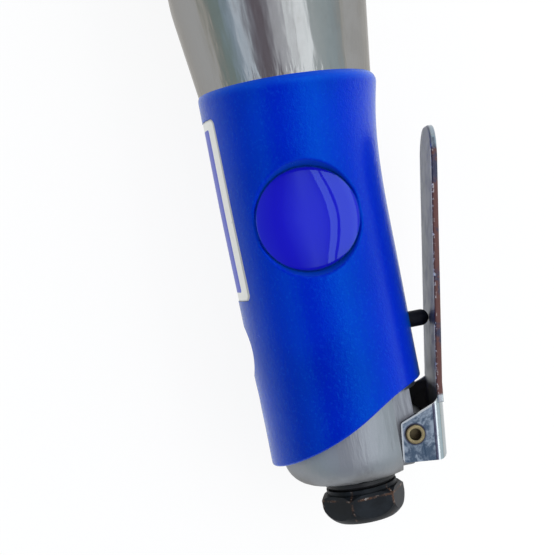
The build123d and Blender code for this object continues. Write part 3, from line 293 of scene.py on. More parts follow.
@dataclass(frozen=True)
class Grain:
    """One scale of cloudy variation, with the size of its largest features.

    Detail counts the octaves of finer features and rough is their share. A stretch under 1 draws
    the features out along that axis, and warp distorts them.
    """

    size: float
    detail: float = 2.0
    rough: float = 0.5
    stretch: Point = EVEN
    warp: float = 0.0


class Surface(NodeSheet):
    """A material's nodes."""

    def __init__(self, name: str) -> None:
        """Makes the material and reads the object's own coordinates.

        Args:
            name: the material's name.
        """
        self.material = bpy.data.materials.new(name)
        self.material.use_nodes = True
        super().__init__(self.material.node_tree)
        self.at = self.node("ShaderNodeTexCoord", {}, {}, "Object")
        self.x, self.y, self.z = self.parts(self.at)

    def noise(self, grain: Grain, at: Optional[Value] = None) -> Value:
        """Cloudy variation about 0.5.

        Args:
            grain: its scale.
            at: coordinates, if not the object's own.

        Returns:
            The varying number.
        """
        at = at or self.at
        if grain.stretch != EVEN:
            at = self.node("ShaderNodeMapping", {}, {"Vector": at, "Scale": grain.stretch})
        inputs = {
            "Vector": at,
            "Scale": 1.0 / grain.size,
            "Detail": grain.detail,
            "Roughness": grain.rough,
            "Distortion": grain.warp,
        }
        return self.node("ShaderNodeTexNoise", {}, inputs)

    def cells(self, size: float) -> Value:
        """Distance to the nearest of scattered points, in cell sizes."""
        return self.node("ShaderNodeTexVoronoi", {}, {"Vector": self.at, "Scale": 1.0 / size})

    def bump(self, height: Value, depth: float, under: Optional[Value] = None) -> Value:
        """A normal that follows a height.

        Args:
            height: the height, from 0 to 1.
            depth: the height of 1, in metres.
            under: the normal below it, if not the mesh's own.

        Returns:
            The normal.
        """
        inputs = {"Height": height, "Distance": depth, "Strength": 1.0}
        if under is not None:
            inputs["Normal"] = under
        return self.node("ShaderNodeBump", {}, inputs)

    def finish(self, **inputs: Union[Term, Colour]) -> bpy.types.Material:
        """Closes the material with one shader.

        Args:
            inputs: the shader's sockets, with underscores for the spaces in their names.

        Returns:
            The finished material.
        """
        named = {key.replace("_", " "): value for key, value in inputs.items()}
        shader = self.node("ShaderNodeBsdfPrincipled", {}, named)
        self.node_output(shader)
        return self.material

    def node_output(self, shader: Value) -> None:
        """Joins a shader to the material's output."""
        output = self.tree.nodes.new("ShaderNodeOutputMaterial")
        self.tree.links.new(shader.socket, output.inputs["Surface"])


@dataclass(frozen=True)
class MouldedSleeve:
    """Matte blue moulding with a fine grain, worn paler at its edges and scattered with pale
    painted glints.
    """

    deep: Colour = (0.0002, 0.0008, 0.345)
    bright: Colour = (0.0004, 0.0050, 0.425)
    pale_wear_and_glints: Colour = (0.008, 0.100, 0.640)
    gloss_tint: Colour = (0.01, 0.80, 1.0)
    sheen_tint: Colour = (0.01, 0.36, 0.90)
    clouds: Grain = Grain(0.030, 3.0)
    grain: Grain = Grain(0.00042, 2.5, 0.6)
    specks: Grain = Grain(0.0011)
    scuffs: Grain = Grain(0.004, 4.0, 0.65)
    hairs: Grain = Grain(0.0007, stretch=(0.15, 1.0, 1.0))
    glints: Grain = Grain(0.00075, 3.0, 0.7)
    grain_depth: float = 0.000070
    rim_band: float = 0.0022
    rim_wear: float = 0.30
    scuff_wear: float = 0.30
    painted_glint_share: float = 0.16
    index: float = 1.28
    sheen: float = 0.26
    sheen_rough: float = 0.55

    def material(self) -> bpy.types.Material:
        """Mixes the sleeve's blue, grain, wear and painted glints.

        Returns:
            The material.
        """
        s = Surface("moulded_sleeve")
        clouds = s.noise(self.clouds)
        grain = s.noise(self.grain)
        specks = s.noise(self.specks)
        colour = s.mix(clouds.between(0.32, 0.68), self.deep, self.bright)
        near_rim = (s.x - s.y * RIM_RAKE).between(RIM_X - self.rim_band, RIM_X)
        scuffs = s.noise(self.scuffs).between(0.55, 0.75)
        hairs = s.noise(self.hairs).between(0.60, 0.75)
        # Painted highlight: small pale specks all over stand in for glints of light on the grain.
        glints = s.noise(self.glints).between(0.52, 0.72)
        worn = near_rim * self.rim_wear + scuffs * hairs * self.scuff_wear
        # The glints join the rim wear and scuffs in the pale colour.
        worn = worn + glints * self.painted_glint_share
        colour = s.mix(worn.least(1.0), colour, self.pale_wear_and_glints)
        return s.finish(
            Base_Color=colour,
            Roughness=0.14 + grain * 0.16 + scuffs * 0.05,
            Normal=s.bump(specks, self.grain_depth, s.bump(grain, self.grain_depth)),
            IOR=self.index,
            Specular_IOR_Level=1.0,
            Specular_Tint=self.gloss_tint,
            Sheen_Weight=self.sheen,
            Sheen_Roughness=self.sheen_rough,
            Sheen_Tint=self.sheen_tint,
        )


@dataclass(frozen=True)
class ResinBadge:
    """Clear domed resin over a violet-blue ground."""

    ground: Colour = (0.0050, 0.0030, 0.440)
    middle: Colour = (0.0045, 0.0008, 0.470)
    edge: Colour = (0.0040, 0.0100, 0.340)
    gloss_tint: Colour = (0.50, 0.78, 1.0)
    centre: Pair = (BADGE_AT.x, BADGE_AT.y)
    middle_r: float = BADGE_R * 0.8
    edge_band: Pair = (BADGE_R * 0.985, BADGE_R * 0.995)
    foil: Grain = Grain(0.0005)
    dust: Grain = Grain(0.0009, 3.0, 0.7)
    ripple: Grain = Grain(0.006, 1.0)
    ripple_depth: float = 0.00003

    def material(self) -> bpy.types.Material:
        """Mixes the badge's ground, foil and dust.

        Returns:
            The material.
        """
        s = Surface("resin_badge")
        out = (s.x - self.centre[0]).beside(s.y - self.centre[1])
        colour = s.mix(out.between(0.0, self.middle_r), self.middle, self.ground)
        foil = s.noise(self.foil)
        colour = s.mix(foil.between(0.55, 0.8) * 0.25, colour, self.ground)
        colour = s.mix(out.between(*self.edge_band), colour, self.edge)
        dust = s.noise(self.dust).between(0.66, 0.74)
        return s.finish(
            Base_Color=colour,
            Roughness=0.03 + dust * 0.20,
            Normal=s.bump(s.noise(self.ripple), self.ripple_depth),
            Specular_IOR_Level=0.5,
            Specular_Tint=self.gloss_tint,
        )


@dataclass(frozen=True)
class BorderedLabel:
    """Vinyl plate with a pale border round a plain panel."""

    border: Colour = (0.930, 0.880, 0.790)
    panel: Colour = (0.010, 0.042, 0.520)
    panel_pale: Colour = (0.022, 0.066, 0.580)
    # Colour of the specks and of the painted shade along the label's edge.
    grime_and_shade: Colour = (0.060, 0.065, 0.110)
    middle_x: float = LABEL_AT.x
    middle_y: float = 0.0012
    half_length: float = 0.0220
    half_width: float = 0.0110
    corner: float = 0.0016
    round_r: float = 0.0205
    end_border: float = 0.0022
    side_border: float = 0.0036
    panel_corner: float = 0.00064
    line: float = 0.00006
    edge_shade_band: float = 0.0006
    weave: Grain = Grain(0.00025)
    shade: Grain = Grain(0.008, 3.0)
    specks: Grain = Grain(0.002, 4.0, 0.7)
    weave_depth: float = 0.000012
    film: float = 0.06
    film_rough: float = 0.12

    def outline(self, s: Surface, half_length: float, half_width: float, corner: float) -> Value:
        """Distance outside a rounded rectangle on the label, negative inside.

        Args:
            s: the material's nodes.
            half_length: half its size along the tool.
            half_width: half its size round the handle.
            corner: its corner radius.

        Returns:
            The distance in metres.
        """
        along = abs(s.x - self.middle_x) - (half_length - corner)
        around = abs(s.z.angle(s.y - self.middle_y) * self.round_r) - (half_width - corner)
        outside = along.most(0.0).beside(around.most(0.0))
        return outside + along.most(around).least(0.0) - corner

    def material(self) -> bpy.types.Material:
        """Mixes the label's panel and border, grimy specks and the painted shade along its edge.

        Returns:
            The material.
        """
        s = Surface("bordered_label")
        length, width = self.half_length - self.end_border, self.half_width - self.side_border
        inner = self.outline(s, length, width, self.panel_corner)
        outer = self.outline(s, self.half_length, self.half_width, self.corner)
        weave = s.noise(self.weave)
        shade = s.noise(self.shade)
        panel = s.mix(shade.between(0.3, 0.7) * 0.35, self.panel, self.panel_pale)
        colour = s.mix(inner.between(-self.line, self.line), panel, self.border)
        specks = s.noise(self.specks).between(0.62, 0.80)
        # Painted shade: a dark band along the label's outer edge, where the recess wall shades it;
        # the specks are dirt.
        dirt_and_shade = outer.between(-self.edge_shade_band, 0.0) * 0.55 + specks * 0.30
        colour = s.mix(dirt_and_shade.least(1.0), colour, self.grime_and_shade)
        return s.finish(
            Base_Color=colour,
            Roughness=0.34 + weave * 0.12,
            Normal=s.bump(weave, self.weave_depth),
            Coat_Weight=self.film,
            Coat_Roughness=self.film_rough,
        )


@dataclass(frozen=True)
class Casting:
    """One aluminium casting: blasted satin at the handle's end, polished along the barrel."""

    satin: Colour = (0.310, 0.323, 0.345)
    polished: Colour = (0.292, 0.292, 0.288)
    grazing: Colour = (0.72, 0.70, 0.67)
    stain: Colour = (0.215, 0.208, 0.195)
    # Colour of the dark streaks and of the darkening towards the rear end.
    grime_and_shade: Colour = (0.075, 0.058, 0.042)
    end_x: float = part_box("motor_housing")[0][0]
    change: Pair = (0.060, 0.080)
    rim_band: float = 0.0060
    end_band: float = 0.0060
    drawn: Grain = Grain(0.0012, 3.0, 0.6, (0.045, 1.0, 1.0))
    blast: Grain = Grain(0.00030, 2.5, 0.6)
    waves: Grain = Grain(0.011, 3.0, stretch=(0.45, 1.0, 1.0))
    streaks: Grain = Grain(0.0046, 2.5, 0.55, (0.16, 1.0, 1.0))
    rubs: Grain = Grain(0.0013, stretch=(0.20, 1.0, 1.0))
    patches: Grain = Grain(0.012, 4.0, 0.6)
    hairs: Grain = Grain(0.0022, 3.0, 0.6, (0.06, 1.0, 1.0))
    pit_size: float = 0.0024
    wave_depth: float = 0.00026
    streak_depth: float = 0.00022
    rub_depth: float = 0.00016
    relief_depth: float = 0.000016

    def material(self) -> bpy.types.Material:
        """Mixes the casting's satin and polish, its tool marks, stains and soiled streaks, and
        darkens it in patches towards its rear end.

        Returns:
            The material.
        """
        s = Surface("casting")
        bright = s.x.between(*self.change)
        dull = 1.0 - bright
        drawn, blast = s.noise(self.drawn), s.noise(self.blast)
        waves, streaks, rubs = s.noise(self.waves), s.noise(self.streaks), s.noise(self.rubs)
        near_rim = (s.x - s.y * RIM_RAKE).between(RIM_X + self.rim_band, RIM_X)
        patches = s.noise(self.patches)
        pits = s.cells(self.pit_size).between(0.16, 0.06) * patches.between(0.52, 0.66)
        colour = s.mix(bright, self.satin, self.polished)
        colour = s.mix(patches.between(0.48, 0.78) * 0.35 + pits * 0.25, colour, self.stain)
        hairs = s.noise(self.hairs).between(0.60, 0.70)
        # Darker in patches towards the rear end of the casting.
        low = s.x.between(self.end_x + self.end_band, self.end_x) * patches.between(0.36, 0.56)
        dirt_and_shade = low * 0.34 + hairs * dull * patches.between(0.46, 0.60) * 0.40
        colour = s.mix(dirt_and_shade.least(1.0), colour, self.grime_and_shade)
        satin_rough = 0.44 + blast * 0.16
        polish_rough = 0.130 + drawn * 0.14
        relief = blast * dull + drawn * bright * 0.12 - pits * 0.6
        swell = s.bump(streaks * bright, self.streak_depth)
        swell = s.bump(waves * bright, self.wave_depth, swell)
        swell = s.bump(rubs * near_rim, self.rub_depth, swell)
        return s.finish(
            Base_Color=colour,
            Metallic=1.0,
            Roughness=satin_rough * dull + polish_rough * bright,
            Normal=s.bump(relief, self.relief_depth, swell),
            Specular_Tint=self.grazing,
        )


@dataclass(frozen=True)
class WornChrome:
    """Chromed sheet: hazy and pitted, satin inside, stained along its edges, with painted shade in
    its fold, along its crease and round the rivet, and painted highlights on its bend and ear
    edges.
    """

    bright: Colour = (0.310, 0.370, 0.430)
    haze: Colour = (0.040, 0.068, 0.108)
    # Pale colour of the painted highlights on the bend and along the ear's edges.
    painted_highlight: Colour = (0.470, 0.500, 0.510)
    satin: Colour = (0.152, 0.162, 0.170)
    rust: Colour = (0.110, 0.036, 0.022)
    # Dark colour of the sheet's cut edge, also used for the painted shade in the crease and round
    # the rivet.
    violet: Colour = (0.030, 0.026, 0.052)
    pit: Colour = (0.060, 0.062, 0.070)
    fleck: Colour = (0.800, 0.800, 0.800)
    # Colour of the painted shade in the fold.
    grime_and_shade: Colour = (0.030, 0.028, 0.027)
    half_width: float = LEVER_HALF
    sheet: float = 0.0015
    stand: float = 0.0075
    knee: float = 0.0110
    heel_slope: float = math.tan(math.radians(6.0))
    pad_slope: float = math.tan(math.radians(9.4))
    fold_end: float = 0.0110
    toe_end: float = 0.0086
    rust_end: float = 0.0620
    bend_r: float = 0.0026
    rivet_r: float = 0.0023
    ear_edges: tuple[Pair, ...] = (
        (-0.0063, 0.0040),
        (0.0031, 0.0029),
        (0.0069, -0.0070),
    )
    edge_band: Pair = (0.0010, 0.0002)
    ear_band: Pair = (0.0012, 0.0006)
    border_in: Pair = (-0.00050, -0.00025)
    border_out: Pair = (0.00060, 0.00030)
    seat_band: Pair = (0.00055, 0.00020)
    crease_band: Pair = (0.00045, 0.00020)
    heel_fade: float = 0.0010
    toe_fade: float = 0.0008
    fray: float = 0.002
    clouds: Grain = Grain(0.0045, 4.0, 0.65, warp=0.6)
    spots: Grain = Grain(0.0012, 4.0, 0.7)
    lines: Grain = Grain(0.0006, stretch=(0.08, 1.0, 1.0))
    patches: Grain = Grain(0.0060, 3.0, 0.6)
    pit_depth: float = 0.000010
    haze_depth: float = 0.00004

    def beyond(self, s: Surface, start: Pair, end: Pair) -> Value:
        """Distance beyond a straight edge of the ear.

        Args:
            s: the material's nodes.
            start: one end of the edge, from the pivot.
            end: its other end, with the ear on the right on the way there.

        Returns:
            The distance in metres, negative on the ear.
        """
        along = Vector((end[0] - start[0], end[1] - start[1])).normalized()
        return (s.y - PIVOT_AT.y - start[1]) * along.x - (s.x - PIVOT_AT.x - start[0]) * along.y

    def depth(self, s: Surface) -> Value:
        """Distance in from the outside of the pad, along Y.

        Args:
            s: the material's nodes.

        Returns:
            The distance in metres.
        """
        ahead = s.x - PIVOT_AT.x
        outside = ahead.least(self.knee) * self.heel_slope
        outside = outside + (ahead - self.knee).most(0.0) * self.pad_slope
        return s.y - (PIVOT_AT.y - self.stand) + outside

    def bend(self, s: Surface, depth: Value, heel: Value) -> tuple[Value, Value]:
        """Finds the outside of the fold between pad and ears, where a highlight is painted, and the
        crease at its end, where shade is painted.

        Args:
            s: the material's nodes.
            depth: distance in from the outside of the pad.
            heel: 1 where the lever has ears.

        Returns:
            Masks of the fold itself and of the crease at its end on the ear.
        """
        over = abs(s.z) - (self.half_width - self.bend_r)
        out = over.most(0.0).beside((self.bend_r - depth).most(0.0))
        skin = heel * over.between(0.0, self.bend_r * 0.2)
        skin = skin * out.between(self.bend_r * 0.6, self.bend_r * 0.8)
        # Painted shade: a dark line along the crease where the bend meets the ear.
        crease = skin * abs(depth - self.bend_r).between(*self.crease_band)
        return skin * depth.between(self.bend_r, self.bend_r * 0.8), crease

    def material(self) -> bpy.types.Material:
        """Mixes the lever's chrome, haze, stains and rust with painted highlights and painted
        shade.

        Returns:
            The material.
        """
        s = Surface("worn_chrome")
        clouds, spots = s.noise(self.clouds), s.noise(self.spots)
        lines, patches = s.noise(self.lines), s.noise(self.patches)
        ahead, side, depth = s.x - PIVOT_AT.x, s.y - PIVOT_AT.y, self.depth(s)
        across = abs(s.z)
        within = depth.between(self.sheet * 0.55, self.sheet * 0.95)
        rim = [self.half_width - inset for inset in self.edge_band]
        face = [self.half_width - inset for inset in self.ear_band]
        heel_ends = (self.fold_end, self.fold_end - self.heel_fade)
        heel = ahead.between(*heel_ends)
        edge = across.between(*rim) * ahead.between(self.toe_end - self.toe_fade, self.toe_end)
        inside = within * across.between(*reversed(face))
        # Painted shade: the inside of the fold near the pivot is darkened nearly to black, where
        # shade falls between the ears.
        fold = inside * (ahead + patches * self.fray).between(*heel_ends)
        ear = heel * across.between(*face)
        # Painted highlight: the outside of the bend is painted pale, standing in for the light that
        # it catches.
        turned, crease = self.bend(s, depth, heel)
        borders = [self.beyond(s, *ends) for ends in zip(self.ear_edges, self.ear_edges[1:])]
        past = borders[0].most(borders[1])
        # Painted highlight: thin pale lines along the ear's straight edges.
        border = ear * past.between(*self.border_in) * past.between(*self.border_out)
        # Painted shade: a dark ring round the rivet's head on the ear.
        seat = ear * abs(ahead.beside(side) - self.rivet_r).between(*self.seat_band)
        rusty = patches + ahead.between(self.rust_end, self.rust_end * 0.8) * 0.10
        rust = edge * rusty.between(0.50, 0.60)
        pits = spots.between(0.68, 0.75)
        flecks = edge * spots.between(0.54, 0.62) * within
        tarnish = (clouds * 0.75 + spots * 0.25).between(0.43, 0.58)
        tarnish = tarnish * (0.12 + ear * 0.60) + ear * 0.20
        hazy = (tarnish + lines.between(0.58, 0.75) * 0.10).least(1.0)
        colour = s.mix(hazy, self.bright, self.haze)
        for share, layer in (
            ((turned + border).least(1.0) * 0.85, self.painted_highlight),
            ((crease + seat).least(1.0) * 0.85, self.violet),
            (inside * 0.9, self.satin),
            (pits * 0.65, self.pit),
            (edge * 0.92, self.violet),
            (rust * 0.80, self.rust),
            (flecks * 0.9, self.fleck),
            (fold * 0.95, self.grime_and_shade),
        ):
            colour = s.mix(share, colour, layer)
        rough = 0.06 + clouds.between(0.40, 0.72) * 0.12 + lines * 0.05 + (pits + rust) * 0.16
        rough = rough + inside * 0.36 + fold * 0.40 + edge * 0.10
        return s.finish(
            Base_Color=colour,
            Metallic=(1.0 - rust * 0.5 - fold * 0.9 - inside * 0.4).most(0.0),
            Roughness=rough,
            Normal=s.bump(1.0 - pits, self.pit_depth, s.bump(clouds, self.haze_depth)),
        )


@dataclass(frozen=True)
class BlackOxide:
    """Blackened steel, worn to brown and bare metal along its edges."""

    name: str = "black_oxide"
    black: Colour = (0.0070, 0.0085, 0.0105)
    blue: Colour = (0.0130, 0.0160, 0.0200)
    rust: Colour = (0.0900, 0.0420, 0.0220)
    bare: Colour = (0.4200, 0.4100, 0.4000)
    hex_turn: float = math.radians(10.0)
    hex_corner_r: float = 0.0105
    shoulder_x: float = 0.0061
    corner_band: Pair = (0.0005, 0.0001)
    ring_band: Pair = (0.0004, 0.0001)
    clouds: Grain = Grain(0.0035, 4.0, 0.6)
    chips: Grain = Grain(0.0011, 4.0, 0.75)
    scratch: Grain = Grain(0.0007, stretch=(1.0, 0.12, 0.12))
    relief_depth: float = 0.00002
    wear: float = 1.0

    def edge_mask(self, s: Surface) -> Value:
        """Finds the edges of the hexagon.

        Args:
            s: the material's nodes.

        Returns:
            1 on the edges, fading over half a millimetre.
        """
        sixth = math.pi / 3.0
        turn = abs((s.z.angle(s.y) - self.hex_turn + sixth / 2.0) % sixth - sixth / 2.0)
        corner = (turn * self.hex_corner_r).between(*self.corner_band)
        out = s.y.beside(s.z).between(self.hex_corner_r * 0.80, self.hex_corner_r * 0.87)
        ring = abs(s.x - self.shoulder_x).between(*self.ring_band)
        return out * corner.most(ring)

    def material(self) -> bpy.types.Material:
        """Mixes the black, its rust and its bare spots.

        Returns:
            The material.
        """
        s = Surface(self.name)
        clouds, chips, scratch = (
            s.noise(grain) for grain in (self.clouds, self.chips, self.scratch)
        )
        worn = chips.between(0.68, 0.82) * max(self.wear, 0.35)
        bright = chips.between(0.88, 0.96) * max(self.wear, 0.15)
        if self.wear > 0.0:
            edge = self.edge_mask(s)
            worn = worn.most(edge * (clouds * 0.6 + chips * 0.4).between(0.43, 0.55) * self.wear)
            bare = edge * chips.between(0.54, 0.64) * clouds.between(0.42, 0.54)
            bright = bright.most(bare * self.wear)
        colour = s.mix(clouds.between(0.35, 0.70), self.black, self.blue)
        colour = s.mix(worn * 0.75, colour, self.rust)
        colour = s.mix(bright * 0.85, colour, self.bare)
        rough = 0.40 + clouds * 0.16 + worn * 0.16 - bright * 0.16
        relief = chips * 0.6 + scratch * 0.4 - worn * 0.3
        return s.finish(
            Base_Color=colour,
            Metallic=0.25 + bright * 0.70 - worn * 0.20,
            Roughness=rough,
            Normal=s.bump(relief, self.relief_depth),
            Specular_IOR_Level=0.12,
        )


@dataclass(frozen=True)
class BareMetal:
    """Bare metal with the marks of its tool, thin stains and a few pits."""

    name: str
    colour: Colour
    stain: Colour
    smooth: float = 0.22
    spread: float = 0.16
    lay: Lay = Lay.PLAIN
    pitch: float = 0.00035
    depth: float = 0.000010
    centre: Point = (0.0, 0.0, 0.0)
    # Radius of the painted shade that darkens a hollow rivet's bore, in the colour below; 0 for
    # none.
    shaded_bore_r: float = 0.0
    dirt_and_shade: Colour = (0.020, 0.015, 0.010)
    clouds: Grain = Grain(0.006, 4.0, 0.6)
    pit_size: float = 0.0016

    def marks(self, s: Surface) -> Value:
        """Draws the tool's marks.

        Args:
            s: the material's nodes.

        Returns:
            Their height, from 0 to 1.
        """
        x, y, z = s.x - self.centre[0], s.y - self.centre[1], s.z - self.centre[2]
        at, stretch = None, EVEN
        if self.lay is Lay.ALONG:
            stretch = (0.05, 1.0, 1.0)
        elif self.lay is Lay.ROUND_TOOL:
            at = s.vector(x, y.beside(z), 0.0)
        elif self.lay is Lay.ROUND_DRIVE:
            at = s.vector(x.beside(z), y, 0.0)
        elif self.lay is Lay.ROUND_PIVOT:
            at = s.vector(x.beside(y), 0.0, z)
        return s.noise(Grain(self.pitch, 3.0, 0.6, stretch), at)

    def material(self) -> bpy.types.Material:
        """Mixes the metal's marks, stains and pits, and paints shade into a hollow rivet's bore.

        Returns:
            The material.
        """
        s = Surface(self.name)
        marks = self.marks(s)
        clouds = s.noise(self.clouds)
        pits = s.cells(self.pit_size).between(0.14, 0.05) * clouds.between(0.54, 0.68)
        tone = clouds.between(0.40, 0.75) * 0.45 + marks.between(0.55, 0.80) * 0.20 + pits * 0.5
        rough = self.smooth + marks * self.spread + clouds.between(0.45, 0.75) * 0.08
        colour = s.mix(tone.least(1.0), self.colour, self.stain)
        # Painted shade: the middle of the rivet, its bore, is darkened nearly to black.
        if self.shaded_bore_r > 0.0:
            out = (s.x - self.centre[0]).beside(s.y - self.centre[1])
            bore_shade = out.between(self.shaded_bore_r, self.shaded_bore_r * 0.75) * 0.8
            colour = s.mix(bore_shade, colour, self.dirt_and_shade)
        return s.finish(
            Base_Color=colour,
            Metallic=1.0,
            Roughness=rough,
            Normal=s.bump(marks - pits, self.depth),
        )


@dataclass(frozen=True)
class Moulding:
    """A plain plastic, rubber or laminate with its own grain."""

    name: str
    colour: Colour
    shade: Colour
    rough: float = 0.5
    grain: Grain = Grain(0.0004, 3.0, 0.6)
    clouds: Grain = Grain(0.005, 3.0)
    depth: float = 0.000012
    layers: float = 0.0
    shine: float = 0.5

    def material(self) -> bpy.types.Material:
        """Mixes the moulding's two tones and its grain.

        Returns:
            The material.
        """
        s = Surface(self.name)
        grain = s.noise(self.grain)
        clouds = s.noise(self.clouds)
        tone = clouds.between(0.35, 0.70) * 0.6 + grain * 0.3
        if self.layers > 0.0:
            ply = abs(s.y.beside(s.z) % self.layers - self.layers / 2.0)
            ply = ply.between(0.0, self.layers / 4.0)
            tone = tone * 0.6 + ply * 0.4
        return s.finish(
            Base_Color=s.mix(tone.least(1.0), self.colour, self.shade),
            Roughness=self.rough + grain * 0.12,
            Normal=s.bump(grain, self.depth),
            Specular_IOR_Level=self.shine,
        )


Finish = Union[
    MouldedSleeve,
    ResinBadge,
    BorderedLabel,
    Casting,
    WornChrome,
    BlackOxide,
    BareMetal,
    Moulding,
]


class Workshop:
    """Dresses CAD nodes and places new pieces on their bodies."""

    made: dict[Finish, bpy.types.Material] = {}

    @classmethod
    def coat(cls, piece: bpy.types.Object, finish: Finish) -> None:
        """Gives a piece one finish all over.

        Args:
            piece: a CAD node's object or a new piece.
            finish: its finish; each is made once.
        """
        if finish not in cls.made:
            cls.made[finish] = finish.material()
        slots = piece.data.materials
        if not slots:
            slots.append(cls.made[finish])
        for index in range(len(slots)):
            slots[index] = cls.made[finish]

    @classmethod
    def dress(cls, finishes: dict[str, Finish]) -> None:
        """Gives CAD nodes their finishes.

        Args:
            finishes: each node's name with its finish.
        """
        for node, finish in finishes.items():
            cls.coat(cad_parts[node], finish)
            LOG.info("dressed %s", node)

    @classmethod
    def fit(cls, piece: bpy.types.Object, body: str, slot: Slot, finish: Finish) -> None:
        """Puts a new piece on a body.

        Args:
            piece: the finished mesh, with its place in the mesh.
            body: the body that it moves with.
            slot: the record's slot that its finish belongs to; it is not used.
            finish: its finish.
        """
        cls.coat(piece, finish)
        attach(piece, body)
        LOG.info("fitted %s, %d faces", piece.name, len(piece.data.polygons))


class Bench:
    """Modelling steps that the pieces share."""

    @staticmethod
    def clear() -> None:
        """Leaves nothing selected."""
        bpy.ops.object.select_all(action="DESELECT")

    @staticmethod
    def name(name: str) -> bpy.types.Object:
        """Names the object just added.

        Args:
            name: its name, also its mesh's.

        Returns:
            The object.
        """
        piece = bpy.context.object
        piece.name = name
        piece.data.name = name
        return piece

    @staticmethod
    def settle() -> None:
        """Moves the active object's place, turn and size into its mesh."""
        bpy.ops.object.transform_apply(location=True, rotation=True, scale=True)

    @staticmethod
    def apply(piece: bpy.types.Object, kind: str, **settings: Union[float, str, bool]) -> None:
        """Adds a modifier and applies it.

        Args:
            piece: the active object.
            kind: the modifier's type.
            settings: its properties.
        """
        modifier = piece.modifiers.new(kind.lower(), kind)
        for name, value in settings.items():
            setattr(modifier, name, value)
        bpy.ops.object.modifier_apply(modifier=modifier.name)

    @staticmethod
    def thicken(height: float) -> None:
        """Raises the active object's flat face and stays in edit mode.

        Args:
            height: how far the face is raised.
        """
        bpy.ops.object.mode_set(mode="EDIT")
        bpy.ops.mesh.select_all(action="SELECT")
        bpy.ops.mesh.extrude_region_move(TRANSFORM_OT_translate={"value": (0.0, 0.0, height)})

    @staticmethod
    def close() -> None:
        """Closes the mesh in edit mode, turns its faces outwards and shades it."""
        bpy.ops.mesh.select_all(action="SELECT")
        bpy.ops.mesh.remove_doubles(threshold=MERGE)
        bpy.ops.mesh.fill_holes(sides=0)
        bpy.ops.mesh.select_all(action="SELECT")
        bpy.ops.mesh.normals_make_consistent(inside=False)
        bpy.ops.object.mode_set(mode="OBJECT")
        bpy.ops.object.shade_smooth_by_angle(angle=SMOOTH_ANGLE)

    @classmethod
    def wind(cls, piece: bpy.types.Object, axis: str, rise: float, turns: int, steps: int) -> None:
        """Winds a closed outline into a helix with closed ends.

        Args:
            piece: the active object, with its outline beside the axis.
            axis: the axis through the origin that it winds about.
            rise: how far it climbs in each turn.
            turns: the number of turns.
            steps: steps in each turn.
        """
        cls.apply(
            piece,
            "SCREW",
            axis=axis,
            screw_offset=rise,
            iterations=turns,
            steps=steps,
            render_steps=steps,
        )
        bpy.ops.object.mode_set(mode="EDIT")
        cls.close()


STEEL = BareMetal("ground_steel", (0.42, 0.43, 0.45), (0.22, 0.215, 0.21))
TURNED_STEEL = BareMetal(
    "turned_steel", (0.44, 0.45, 0.46), (0.26, 0.255, 0.25), lay=Lay.ROUND_TOOL, depth=0.000014
)
DRIVE_STEEL = BareMetal(
    "drive_steel",
    (0.36, 0.365, 0.375),
    (0.17, 0.165, 0.16),
    smooth=0.20,
    lay=Lay.ROUND_DRIVE,
    depth=0.000012,
    centre=(DRIVE_AT.x, 0.0, 0.0),
)
HEAD_STEEL = BareMetal(
    "head_steel",
    (0.36, 0.362, 0.365),
    (0.20, 0.20, 0.20),
    smooth=0.17,
    lay=Lay.ALONG,
    depth=0.000012,
)
NUT_STEEL = BareMetal(
    "nut_steel",
    (0.34, 0.345, 0.355),
    (0.19, 0.19, 0.19),
    smooth=0.16,
    lay=Lay.ROUND_TOOL,
    depth=0.000014,
)
BALL_STEEL = BareMetal(
    "ball_steel", (0.60, 0.61, 0.63), (0.45, 0.45, 0.46), smooth=0.07, spread=0.05
)
WIRE = BareMetal("drawn_wire", (0.36, 0.36, 0.38), (0.20, 0.19, 0.185), smooth=0.26, pitch=0.0002)
IRON = BareMetal(
    "machined_iron",
    (0.24, 0.24, 0.245),
    (0.13, 0.125, 0.12),
    smooth=0.34,
    lay=Lay.ROUND_TOOL,
    depth=0.00002,
)
BRASS = BareMetal("brass", (0.62, 0.46, 0.20), (0.34, 0.23, 0.10), smooth=0.26)
RIVET_BRASS = BareMetal(
    "rivet_brass",
    (0.30, 0.245, 0.135),
    (0.110, 0.085, 0.045),
    smooth=0.24,
    lay=Lay.ROUND_PIVOT,
    depth=0.00002,
    centre=(PIVOT_AT.x, PIVOT_AT.y, 0.0),
    # Painted shade in the rivet's bore.
    shaded_bore_r=0.0016,
)
BRONZE = BareMetal(
    "sintered_bronze", (0.48, 0.30, 0.15), (0.28, 0.16, 0.08), smooth=0.38, pitch=0.0005
)
RUBBER = Moulding(
    "seal_rubber", (0.006, 0.006, 0.007), (0.014, 0.014, 0.015), rough=0.42, shine=0.3
)
ACETAL = Moulding("acetal", (0.78, 0.76, 0.70), (0.66, 0.63, 0.56), rough=0.36)
VANE = Moulding(
    "vane_laminate", (0.22, 0.115, 0.055), (0.12, 0.060, 0.030), rough=0.46, layers=0.0004
)
HEX_BLACK = BlackOxide()
PLAIN_BLACK = BlackOxide(
    "black_oxide_plain", black=(0.0090, 0.0105, 0.0150), blue=(0.0180, 0.0220, 0.0320), wear=0.0
)


